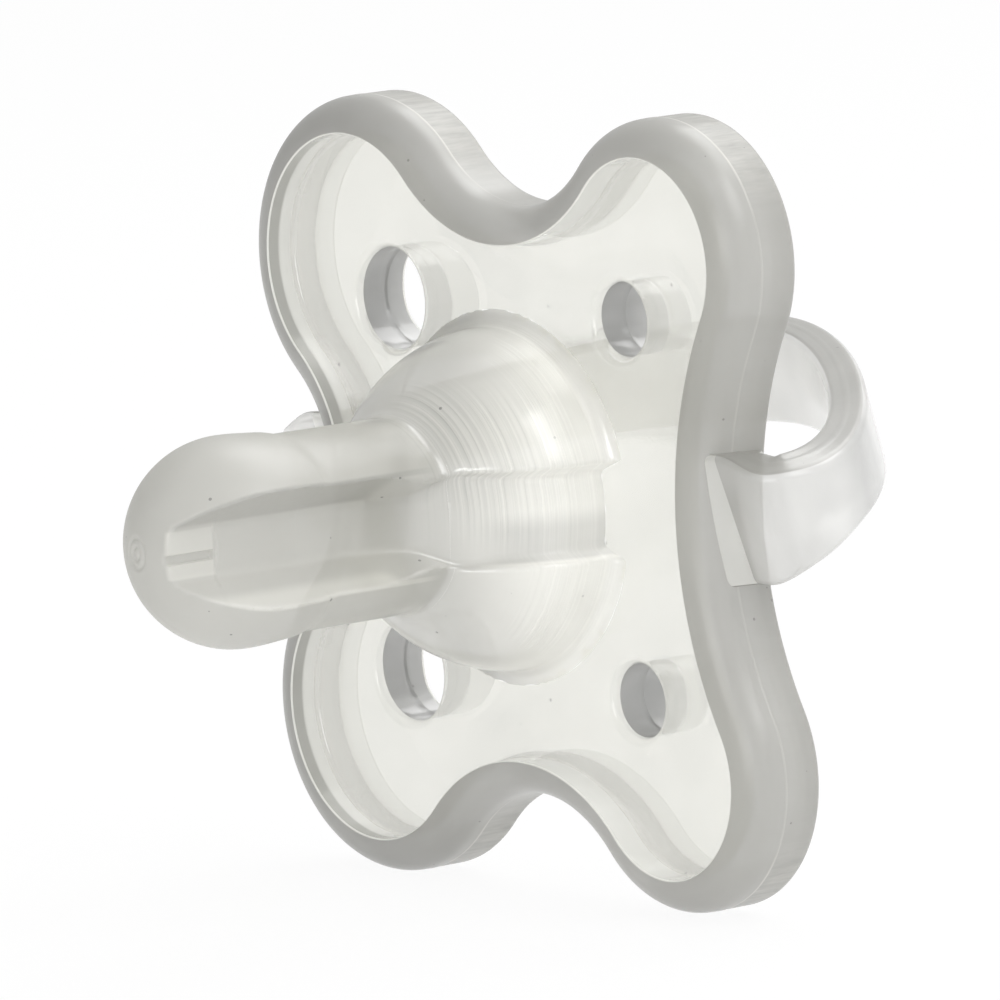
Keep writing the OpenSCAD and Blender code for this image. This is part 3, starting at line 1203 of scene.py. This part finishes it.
@dataclass
class Plate:
    """Butterfly plate with a bulged back and four flared vent holes.

    The fields from edge_steps on set how finely the face is divided: steps inwards from its
    edge, outwards from each hole and along each bore, the count of points round a hole and
    round the dome's foot, and the grid between them, which is finer where the groove ends.
    """

    outline: Outline
    teat: Teat
    region: Region
    vents: tuple[Vent, ...] = (
        Vent(-10.94, 11.97, 3.3), Vent(-10.94, -11.97, 3.3),
        Vent(11.84, 11.97, 2.35), Vent(11.84, -11.97, 2.35))
    edge: float = 2.3
    thickness: float = 3.2
    bulge: float = 3.0
    reach: float = 23.0
    back_edge: float = 0.3
    back_run: float = 5.5
    fillet: float = 0.35
    lip: float = 0.6
    back_lip: float = 0.35
    flash_depth: float = 2.5
    flash_height: float = 0.07
    flash_width: float = 0.06
    dome_foot: float = 11.95
    edge_steps: tuple[float, ...] = (0.0, 0.04, 0.1, 0.18, 0.26, 0.35, 0.6, 1.0, 1.25, 1.5, 1.8,
                                     2.1, 2.4, 2.9)
    dense_to: float = 0.5
    vent_steps: tuple[float, ...] = (0.0, 0.02, 0.07, 0.15, 0.25, 0.35, 0.47, 0.6, 1.0)
    bore_steps: tuple[float, ...] = (0.15, 0.3, 0.42, 0.47, 0.5, 0.53, 0.58, 0.7, 0.85)
    flash_step: float = 0.5
    vent_count: int = 64
    foot_count: int = 96
    far: float = 9.0
    grid_x: Pair = (-24.0, 26.0)
    grid_z: Pair = (-25.0, 25.0)
    grid: float = 0.8
    grid_squeeze: float = 0.87
    grid_clear: float = 0.4
    vent_clear: float = 1.4
    slot_x: Pair = (8.2, 12.0)
    slot_half: float = 4.4
    slot_grid: float = 0.22
    slot_grid_x: Pair = (8.4, 11.7)
    slot_grid_half: float = 4.2
    slot_clear: float = 0.15

    def front_depth(self, inside: Array, rims: Array) -> Array:
        """Depth of the front face, which turns up at the rim and down into each hole.

        Args:
            inside: How far each point lies inside the plate's edge.
            rims: How far it lies from the nearest hole's wall.

        Returns:
            The depths.
        """
        return sag(self.lip, rims) - sag(self.fillet, inside)

    def back_depth(self, points: Array, inside: Array, rims: Array) -> Array:
        """Depth of the bulged back face.

        Args:
            points: Places in the shield's plane.
            inside: How far each lies inside the plate's edge.
            rims: How far it lies from the nearest hole's wall.

        Returns:
            The depths.
        """
        far = np.hypot(points[:, 0], points[:, 1]) / self.reach
        swell = self.bulge * np.clip(1.0 - far * far, 0.0, 1.0)
        swell = swell * ease((inside - self.back_edge) / self.back_run)
        return self.thickness + swell - sag(self.back_lip, rims)

    def layout(self) -> Layout:
        """Lays out one face of the plate.

        Returns:
            Its points and loops.
        """
        rings = [self.outline.inset(self.edge + step)[::1 if step < self.dense_to else 2]
                 for step in self.edge_steps]
        known = np.concatenate([np.full(len(ring), step)
                                for ring, step in zip(rings, self.edge_steps)])
        rims, holes, taken = [np.full(len(known), self.far)], [], len(known)
        for vent in self.vents:
            holes.append(list(range(taken, taken + self.vent_count)))
            for step in self.vent_steps:
                centre, radius = (vent.x, vent.z), vent.radius + step
                rings.append(arc(centre, radius, 0.0, 360.0, self.vent_count)[:-1])
                rims.append(np.full(self.vent_count, step))
                taken += self.vent_count
        rings.append(arc((0.0, 0.0), self.dome_foot, 0.0, 360.0, self.foot_count)[:-1])
        rings += [self.wide_grid(), self.slot_points()]
        flat = np.concatenate(rings)
        rims.append(np.full(len(flat) - taken, self.far))
        inside = self.outline.depth(flat) - self.edge
        inside[:len(known)] = known
        return Layout(flat, inside, np.concatenate(rims), list(range(len(rings[0]))), holes,
                      list(range(taken, taken + self.foot_count)))

    def wide_grid(self) -> Array:
        """Points between the rings, set row against row.

        Returns:
            The points in the shield's plane.
        """
        rows = np.arange(*self.grid_z, self.grid * self.grid_squeeze)
        spots = np.stack(np.meshgrid(np.arange(*self.grid_x, self.grid), rows), axis=-1)
        spots[1::2, :, 0] += self.grid / 2.0
        spots = spots.reshape(-1, 2)
        keep = self.outline.depth(spots) - self.edge > self.edge_steps[-1] + self.grid_clear
        for vent in self.vents:
            keep &= vent.off(spots) > vent.radius + self.vent_clear
        keep &= np.abs(np.hypot(spots[:, 0], spots[:, 1]) - self.dome_foot) > self.grid_clear
        near, far = self.slot_x
        keep &= ~((spots[:, 0] > near) & (spots[:, 0] < far)
                  & (np.abs(spots[:, 1]) < self.slot_half))
        return spots[keep]

    def slot_points(self) -> Array:
        """Closer points where the groove runs out at the dome's foot.

        Returns:
            The points in the shield's plane.
        """
        half = self.slot_grid_half
        fine = np.stack(np.meshgrid(np.arange(*self.slot_grid_x, self.slot_grid),
                                    np.arange(-half, half + 0.01, self.slot_grid)), axis=-1)
        fine = fine.reshape(-1, 2)
        return fine[np.hypot(fine[:, 0], fine[:, 1]) < self.dome_foot - self.slot_clear]

    def triangles(self, plan: Layout) -> Array:
        """Triangulates one face between its edge and its holes.

        Args:
            plan: The face's points and loops.

        Returns:
            The triangles, one row each.
        """
        wires = [wire for loop in (plan.edge, *plan.holes, plan.foot)
                 for wire in zip(loop, [*loop[1:], loop[0]])]
        made = delaunay_2d_cdt([Vector(p) for p in plan.flat], wires, [], 0, 1e-6)
        order = {old: new for new, olds in enumerate(made[3]) for old in olds}
        if len(made[0]) != len(plan.flat) or any(old != new for old, new in order.items()):
            raise RuntimeError("the plate's points were merged")
        triangles = np.array(made[2])
        middle = plan.flat[triangles].mean(axis=1)
        keep = self.outline.depth(middle) > self.edge - 0.005
        for vent in self.vents:
            keep &= vent.off(middle) > vent.radius * 0.99
        return triangles[keep]

    def under_teat(self, middle: Array) -> list[int]:
        """Faces of the front that the teat's root stands on.

        Args:
            middle: The middle of each face, in the shield's plane.

        Returns:
            Their indices.
        """
        just_out = 0.03
        places = np.stack([middle[:, 0], np.full(len(middle), just_out), middle[:, 1]], axis=1)
        return np.flatnonzero(self.teat.distance(places) < 0.0).tolist()

    def bore(self, vent: Vent, rim: Array, top: Array) -> list[Array]:
        """Rings down the wall of a hole, which carries a line of flash.

        Args:
            vent: The hole.
            rim: Its rim in the shield's plane.
            top: Depth of the back face at each point of the rim.

        Returns:
            The rings, front to back.
        """
        centre, rings = np.array([vent.x, vent.z]), []
        for part in self.bore_steps:
            depth = self.lip + (top - self.lip) * part
            if part == self.flash_step:
                depth = np.full(len(top), self.flash_depth)
            near = (depth - self.flash_depth) / self.flash_width
            proud = np.exp(-near ** 2) * self.flash_height
            ring = centre + (rim - centre) * (1.0 - proud / vent.radius)[:, None]
            rings.append(np.stack([ring[:, 0], depth, ring[:, 1]], axis=1))
        return rings

    def build(self) -> bpy.types.Object:
        """Triangulates one face, lifts it to front and back, and closes the walls.

        Returns:
            The dressed piece.
        """
        plan = self.layout()
        flat, count = plan.flat, len(plan.flat)
        triangles = self.triangles(plan)
        back = self.back_depth(flat, plan.inside, plan.rims)
        points = [np.stack([flat[:, 0], depth, flat[:, 1]], axis=1)
                  for depth in (self.front_depth(plan.inside, plan.rims), back)]
        joins = self.under_teat(flat[triangles].mean(axis=1))
        faces = triangles.tolist() + (triangles[:, ::-1] + count).tolist()
        joins += range(len(faces), len(faces) + len(plan.edge))
        faces += bridge(plan.edge, [corner + count for corner in plan.edge])
        total, first = 2 * count, len(faces)
        for loop, vent in zip(plan.holes, self.vents):
            last = loop
            for ring in self.bore(vent, flat[loop], back[loop]):
                points.append(ring)
                row = range(total, total + len(loop))
                faces += bridge(last, row)
                last, total = row, total + len(loop)
            faces += bridge(last, [corner + count for corner in loop])
        # The bores' walls take the trim, coloured darker than the plate: painted shade in the
        # holes.
        bores = range(first, len(faces))
        return self.region.dress(
            new_object("plate", np.concatenate(points), faces, joins, bores))


@dataclass(frozen=True)
class Spread:
    """Four corners of a root's section, each as back and up."""

    low_front: Pair
    low_back: Pair
    top_front: Pair
    top_back: Pair


@dataclass
class Strap:
    """Loop handle: a flat strap from one root round the back to the other.

    Places along the strap run from 0 at a root to 1 at the middle of the back. The chin
    arm leans outwards on its inner face and is lifted a little, and a span says where that
    is full, where it starts to ease off and how long it takes to end. The steps in
    edge_steps are those of the section that lie on the strap's two narrow sides.
    """

    outline: Outline
    region: Region
    chin_pad: float = 0.95
    nose_pad: float = 1.4
    hinge_y: float = 1.15
    root: Pair = (4.2, 7.4)
    side: Pair = (2.6, 4.9)
    back: Pair = (2.3, 6.8)
    reach: float = 22.2
    bulge: float = 15.6
    crown: float = 12.8
    tilt: float = 16.0
    bend: float = 0.5
    seat: Spread = Spread((1.37, -4.0), (4.2, -3.7), (-1.64, 4.48), (2.3, 4.15))
    root_run: float = 0.07
    thin_by: float = 0.18
    narrow_by: float = 0.4
    chin_lean: float = 1.0
    lean_span: Place = (0.28, 0.3, 0.4)
    chin_lift: float = 0.45
    lift_span: Place = (0.2, 0.3, 0.3)
    seam: float = 0.04
    seam_width: float = 0.07
    steps: int = 110
    edge_steps: tuple[int, ...] = (*range(4, 18), *range(30, 44))

    @property
    def chin_seat(self) -> float:
        """Place of the chin-side seat across the shield."""
        return self.outline.chin_apex + self.chin_pad

    @property
    def nose_seat(self) -> float:
        """Place of the nose-side seat across the shield."""
        return self.outline.nose_apex - self.nose_pad

    def size_at(self, along: float) -> Pair:
        """Thickness and width of the strap.

        Args:
            along: Place along the strap.

        Returns:
            The thickness and the width there.
        """
        thin, narrow, late = (float(ease(np.array(part))) for part in (
            along / self.thin_by, along / self.narrow_by,
            (along - self.narrow_by) / (1.0 - self.narrow_by)))
        thick = self.root[0] + (self.side[0] - self.root[0]) * thin
        wide = self.root[1] + (self.side[1] - self.root[1]) * narrow
        return (thick + (self.back[0] - self.side[0]) * late,
                wide + (self.back[1] - self.side[1]) * late)

    def section(self, thick: float, wide: float) -> Array:
        """Rounded section with a fine seam along the middle of each narrow side.

        Args:
            thick: The section's thickness.
            wide: Its width.

        Returns:
            Its points: how deep from the outer face, and how far from the middle.
        """
        bend, half = self.bend, wide / 2.0
        places = np.linspace(bend + 0.1, thick - bend - 0.1, 9)
        proud = self.seam * np.exp(-((places - thick / 2.0) / self.seam_width) ** 2)
        low, high = (np.stack([places, side * (half + proud)], axis=1) for side in (-1.0, 1.0))
        return np.concatenate([
            arc((bend, bend - half), bend, 180.0, 270.0, 6),
            low,
            arc((thick - bend, bend - half), bend, 270.0, 360.0, 6),
            np.stack([np.full(3, thick), np.linspace(-0.4, 0.4, 3) * half], axis=1),
            arc((thick - bend, half - bend), bend, 0.0, 90.0, 6),
            high[::-1],
            arc((bend, half - bend), bend, 90.0, 180.0, 6),
            np.stack([np.zeros(3), np.linspace(0.4, -0.4, 3) * half], axis=1),
        ])

    def tilted(self, points: Array) -> Array:
        """Turns points to the loop's resting tilt and moves them to the hinge line.

        Args:
            points: Places before the tilt: across, back, up.

        Returns:
            The places at rest.
        """
        turn = math.radians(self.tilt)
        back = points[:, 1] * math.cos(turn) - points[:, 2] * math.sin(turn)
        up = points[:, 1] * math.sin(turn) + points[:, 2] * math.cos(turn)
        return np.stack([points[:, 0], self.hinge_y + back, up], axis=1)

    def ring(self, along: float, end: End) -> Array:
        """One ring of the strap, set square to a smooth curve, before the tilt.

        Args:
            along: Place along the strap.
            end: The end that it runs from.

        Returns:
            The ring's points: across, back, up.
        """
        mid = (self.chin_seat + self.nose_seat) / 2.0
        reach = self.chin_seat - mid
        knots = np.array([[reach, -self.root[0] / 2.0], [reach + self.bulge, -self.root[0] / 2.0],
                          [self.crown, self.reach], [0.0, self.reach]])
        rest = 1.0 - along
        spot = (rest ** 3 * knots[0] + 3 * along * rest ** 2 * knots[1]
                + 3 * along ** 2 * rest * knots[2] + along ** 3 * knots[3])
        way = (rest ** 2 * (knots[1] - knots[0]) + 2 * along * rest * (knots[2] - knots[1])
               + along ** 2 * (knots[3] - knots[2]))
        way = way / np.linalg.norm(way)
        inward = np.array([-way[1], way[0]])
        section = self.section(*self.size_at(along))
        flat = spot + section[:, :1] * inward
        return np.stack([mid + end.value * flat[:, 0], flat[:, 1], section[:, 1]], axis=1)

    def block(self, spread: Spread) -> Array:
        """The root's section laid into a four-cornered block.

        Args:
            spread: The block's corners.

        Returns:
            Back and up, one row each point.
        """
        thick, wide = self.root
        section = self.section(thick, wide)
        high = section[:, 1:] / wide + 0.5
        deep = section[:, :1] / thick
        low_edge, top_edge = (
            np.array(front) + deep * (np.array(back) - np.array(front))
            for front, back in ((spread.low_front, spread.low_back),
                                (spread.top_front, spread.top_back)))
        return low_edge + high * (top_edge - low_edge)

    def held(self, along: float, span: Place) -> float:
        """Share of a lean or a lift that a place along the strap has."""
        on, off = (ease(np.array(part)) for part in (along / span[0], (along - span[1]) / span[2]))
        return float(on * (1.0 - off))

    def placed(self, along: float, end: End) -> Array:
        """One ring at rest, reshaped near the root so that it grows out of the pad.

        Args:
            along: Place along the strap.
            end: The end that it runs from.

        Returns:
            The ring's points: across, back, up.
        """
        ring = self.tilted(self.ring(along, end))
        start = self.tilted(self.ring(0.0, end))
        swell = math.exp(-(along / self.root_run) ** 2)
        ring[:, 1:] += swell * (self.block(self.seat) - start[:, 1:])
        if end is End.CHIN:
            size = self.size_at(along)
            deep = self.section(*size)[:, 0] / size[0]
            lean = self.chin_lean * self.held(along, self.lean_span)
            ring[:, 2] += lean * deep + self.chin_lift * self.held(along, self.lift_span)
        return ring

    def build(self) -> bpy.types.Object:
        """Sweeps the strap and closes its two ends.

        Returns:
            The dressed piece.
        """
        along = np.linspace(0.0, 1.0, self.steps + 1)
        rings = [self.placed(place, End.CHIN) for place in along]
        rings += [self.placed(place, End.NOSE) for place in along[-2::-1]]
        across, rows = len(rings[0]), len(rings)
        ends = [list(range(across))[::-1], list(range((rows - 1) * across, rows * across))]
        faces = ends + sweep(rows, across)
        # The narrow sides take the trim, coloured darker than the strap: painted shade.
        edges = strips(len(ends), len(faces), across, self.edge_steps)
        return self.region.dress(
            new_object("loop_strap", np.concatenate(rings), faces, (), edges))


@dataclass
class Pad:
    """Pad that carries one end of the strap, flared where it grows out of the rim."""

    end: End
    outline: Outline
    rim: Rim
    strap: Strap
    region: Region
    foot: Spread = Spread((-0.27, -4.0), (3.1, -4.0), (-1.45, 4.42), (3.1, 4.2))
    foot_gap: float = 0.01
    levels: int = 6

    def wall(self, y: Array, z: Array) -> Array:
        """Place of the rim's outer wall across the shield.

        Args:
            y: Depths behind the plate's front.
            z: Heights.

        Returns:
            The wall's place at each.
        """
        bend = self.rim.width - self.rim.land
        front = np.clip(bend - self.rim.front - y, 0.0, bend)
        rear = np.clip(y - self.rim.back + self.rim.back_round, 0.0, self.rim.back_round)
        inset = (bend - np.sqrt(bend ** 2 - front ** 2)
                 + self.rim.back_round - np.sqrt(self.rim.back_round ** 2 - rear ** 2))
        shape = self.outline
        if self.end is End.CHIN:
            return shape.chin[0] - np.sqrt((shape.chin_notch_r + inset) ** 2 - z ** 2)
        return shape.nose[0] + np.sqrt((shape.nose_notch_r + inset) ** 2 - z ** 2)

    def build(self) -> bpy.types.Object:
        """Lofts the pad from the rim's wall to the strap's end.

        Returns:
            The dressed piece.
        """
        seat = self.strap.placed(0.0, self.end)
        back, up = self.strap.block(self.foot).T
        foot = np.stack([self.wall(back, up) + self.foot_gap * self.end.value, back, up], axis=1)
        levels = np.linspace(0.0, 1.0, self.levels + 1)
        points = np.concatenate([foot + (seat - foot) * level for level in levels])
        across, rows = len(seat), len(levels)
        ends = [list(range(across)), list(range((rows - 1) * across, rows * across))[::-1]]
        faces = ends + sweep(rows, across)
        # The narrow sides take the trim, coloured darker than the strap: painted shade.
        edges = strips(len(ends), len(faces), across, self.strap.edge_steps)
        apex = self.outline.chin_apex if self.end is End.CHIN else self.outline.nose_apex
        twist = [(x * MM, self.strap.hinge_y * MM, 0.0) for x in (apex, float(seat[0, 0]))]
        name = f"{self.end.name.lower()}_pad"
        joins = range(len(ends))
        return self.region.dress(new_object(name, points, faces, joins, edges), twist)


# ---------------------------------------------------------------------------
# Stage
# ---------------------------------------------------------------------------


@dataclass(frozen=True)
class Lamp:
    """A soft square lamp aimed at the part: its place and size in metres, and its watts."""

    name: str
    place: Place
    size: float
    power: float

    def build(self) -> None:
        """Adds the lamp."""
        data = bpy.data.lights.new(self.name, "AREA")
        data.shape = "SQUARE"
        data.size = self.size
        data.energy = self.power
        lamp = bpy.data.objects.new(self.name, data)
        lamp.location = self.place
        lamp.rotation_euler = (-Vector(self.place)).to_track_quat("-Z", "Y").to_euler()
        bpy.context.scene.collection.objects.link(lamp)


@dataclass
class Studio:
    """Pale floor, soft lamps and the camera."""

    azimuth: float = 51.0
    elevation: float = 7.75
    roll: float = 2.9
    distance: float = 670.0
    lens: float = 382.8
    aim: Pair = (-0.44, -0.16)
    floor_z: float = -25.1
    floor_half: float = 3000.0
    floor_colour: tuple[float, float, float, float] = (0.86, 0.86, 0.86, 1.0)
    floor_white: float = 0.93
    bright_side: Place = (0.3, 0.8, 0.5)
    bright_run: Pair = (-0.8, 0.9)
    dim: float = 0.4
    bright: float = 0.82
    lamps: tuple[Lamp, ...] = (
        Lamp("top_back", (-0.09, 0.38, 0.55), 0.5, 2.2),
        Lamp("key", (0.42, 0.1, 0.45), 0.35, 1.3),
        Lamp("front_fill", (0.3, -0.6, 0.1), 0.35, 1.5))

    def axes(self) -> tuple[Vector, Vector, Vector]:
        """Works out how the camera is turned.

        Returns:
            The camera's right, up and back directions.
        """
        a, e, r = (math.radians(v) for v in (self.azimuth, self.elevation, self.roll))
        back = Vector((math.sin(a) * math.cos(e), -math.cos(a) * math.cos(e), math.sin(e)))
        right = Vector((math.cos(a), math.sin(a), 0.0))
        up = back.cross(right)
        return (right * math.cos(r) - up * math.sin(r),
                right * math.sin(r) + up * math.cos(r), back)

    def camera(self) -> None:
        """Creates the camera."""
        right, up, back = self.axes()
        data = bpy.data.cameras.new("camera")
        data.lens = self.lens
        data.sensor_width = 36.0
        data.clip_start, data.clip_end = 0.05, 20.0
        camera = bpy.data.objects.new("camera", data)
        place = (right * self.aim[0] + up * self.aim[1] + back * self.distance) * MM
        turn = Matrix((right, up, back)).transposed().to_4x4()
        camera.matrix_world = Matrix.Translation(place) @ turn
        bpy.context.scene.collection.objects.link(camera)
        bpy.context.scene.camera = camera

    def floor_material(self) -> bpy.types.Material:
        """White to the camera and through the silicone, with a share of real shading.

        Returns:
            The material.
        """
        made, nodes, shader = new_material("floor_white")
        place = nodes.add("ShaderNodeTexCoord").outputs["Object"]
        grain = nodes.add("ShaderNodeTexNoise", Scale=60.0, Vector=place)
        rough = nodes.remap(grain.outputs["Fac"], 0.0, 1.0, 0.9, 0.8)
        nodes.put(shader.inputs["Roughness"], rough)
        nodes.put(shader.inputs["Base Color"], self.floor_colour)
        glow = nodes.add("ShaderNodeEmission", Strength=1.0)
        path = nodes.add("ShaderNodeLightPath").outputs
        seen = nodes.math("MAXIMUM", path["Is Camera Ray"], path["Is Glossy Ray"])
        seen = nodes.math("MAXIMUM", seen, path["Is Transmission Ray"])
        mix = nodes.add("ShaderNodeMixShader", Fac=nodes.times(seen, self.floor_white))
        sink = made.node_tree.nodes["Material Output"].inputs["Surface"]
        for source, target in ((shader, mix.inputs[1]), (glow, mix.inputs[2]), (mix, sink)):
            nodes.put(target, source.outputs[0])
        return made

    def floor(self) -> None:
        """Adds the pale floor under the part."""
        half, z = self.floor_half * MM, self.floor_z * MM
        mesh = bpy.data.meshes.new("floor")
        mesh.from_pydata([(-half, -half, z), (half, -half, z), (half, half, z), (-half, half, z)],
                         [], [[0, 1, 2, 3]])
        mesh.materials.append(self.floor_material())
        floor = bpy.data.objects.new("floor", mesh)
        bpy.context.scene.collection.objects.link(floor)

    def world(self) -> None:
        """White surroundings for the camera, softer light for the surfaces."""
        world = bpy.data.worlds.new("studio")
        bpy.context.scene.world = world
        world.use_nodes = True
        nodes = Nodes(world.node_tree)
        shade = world.node_tree.nodes["Background"].inputs
        nodes.put(shade["Color"], (1.0, 1.0, 1.0, 1.0))
        path = nodes.add("ShaderNodeLightPath").outputs
        seen = nodes.math("MAXIMUM", path["Is Camera Ray"], path["Is Transmission Ray"])
        facing = nodes.add("ShaderNodeVectorMath", operation="DOT_PRODUCT")
        nodes.put(facing.inputs[0], nodes.add("ShaderNodeTexCoord").outputs["Generated"])
        nodes.put(facing.inputs[1], Vector(self.bright_side).normalized())
        soft = nodes.remap(facing.outputs["Value"], *self.bright_run, self.dim, self.bright)
        nodes.put(shade["Strength"], nodes.times_plus(seen, nodes.minus(1.0, soft), soft))

    def build(self) -> None:
        """Sets up the whole stage."""
        self.camera()
        self.floor()
        self.world()
        for lamp in self.lamps:
            lamp.build()
        bpy.context.scene.view_settings.view_transform = "Standard"


# ---------------------------------------------------------------------------
# Everything together
# ---------------------------------------------------------------------------


def finishes() -> dict[str, Silicone]:
    """Sets out the finish of each part of the moulding.

    Returns:
        The finishes by name.
    """
    return {
        "plate": Silicone(
            "clear_silicone", colour=(0.80, 0.795, 0.715), clear=0.6, roughness=0.15, solid=0.7,
            far_solid=0.25, speck=0.5, grain=0.6, cloud=0.1),
        # Bore walls coloured darker than the plate: painted shade in the holes.
        "bore": Silicone(
            "bore_painted_shade", colour=(0.42, 0.42, 0.41), clear=0.1, roughness=0.3, solid=0.93,
            far_solid=0.7, cloud=0.3),
        # The rim is painted darker on its nose side: painted shade.
        "rim": Silicone(
            "rim_silicone", colour=(0.345, 0.34, 0.315), clear=0.3, roughness=0.38, solid=0.9,
            far_solid=0.5, coat=0.5, coat_roughness=0.25, scuff=1.2, cloud=0.1, nose_painted_light=-0.2,
            speck=0.4),
        # Painted highlight line along the rim's inner front edge.
        "rim_front": Silicone(
            "rim_lip_painted_highlight", colour=(0.85, 0.85, 0.80), clear=0.2, roughness=0.2, solid=0.9,
            far_solid=0.5),
        # Inner wall of the rim, coloured much lighter than the rim: painted light, as of light
        # coming through from behind, with painted shade on the front of its nose side.
        "inner": Silicone(
            "inner_wall_painted_light", colour=(0.86, 0.86, 0.80), clear=0.2, roughness=0.2, solid=0.6,
            coat=1.0, edge=1.0, nose_painted_light=-0.5, left_clear=-0.35, left_y=(-0.0011, -0.0014)),
        "pad": Silicone(
            "root_silicone", colour=(0.80, 0.80, 0.76), clear=0.4, roughness=0.3, solid=0.75,
            cloud=0.15),
        # The teat's finish paints the dome's sheen and the groove's shade and highlights.
        "teat": Silicone(
            "teat_silicone", colour=(0.45, 0.445, 0.405), clear=0.4, roughness=0.42, solid=0.88,
            rings=5.0, coat=1.0, coat_ior=1.9, coat_roughness=0.2, speck=0.6, glow=1.1, grain=0.3),
        "strap": Silicone(
            "handle_silicone", colour=(0.62, 0.615, 0.585), clear=0.6, roughness=0.35, solid=0.6,
            far_solid=0.3, bend_shade=0.35, grain=0.6, coat=1.0, cloud=0.3, speck=0.4),
        # Narrow sides of the strap and the pads, coloured darker than the strap: painted shade.
        "strap_edge_shade": Silicone(
            "handle_edge_painted_shade", colour=(0.30, 0.295, 0.27), clear=0.4, roughness=0.3,
            solid=0.88, coat=0.6, coat_roughness=0.25, cloud=0.2),
    }


def main() -> None:
    """Builds every piece in order and dresses it."""
    logging.basicConfig(level=logging.INFO, format="%(name)s: %(message)s")
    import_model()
    Studio().build()
    looks = finishes()
    outline = Outline()
    rim = Rim(outline, Region("shield_rim", "shield", "rim_silicone", looks["rim"],
                              looks["inner"], looks["rim_front"]))
    rim.build()
    teat = Teat({name: Region(f"teat_{name}", "shield", slot, looks["teat"])
                 for name, slot in (("dome", "dome_silicone"), ("neck", "teat_silicone"),
                                    ("bulb", "teat_silicone"))})
    teat.build()
    Plate(outline, teat, Region("shield_plate", "shield", "clear_silicone", looks["plate"],
                                looks["bore"])).build()
    strap = Strap(outline, Region("handle_loop", "handle", "handle_silicone", looks["strap"],
                                  looks["strap_edge_shade"]))
    strap.build()
    for end in End:
        region = Region(f"handle_root_{end.name.lower()}", "shield", "root_silicone",
                        looks["pad"], looks["strap_edge_shade"])
        Pad(end, outline, rim, strap, region).build()


if __name__ == "__main__":
    main()
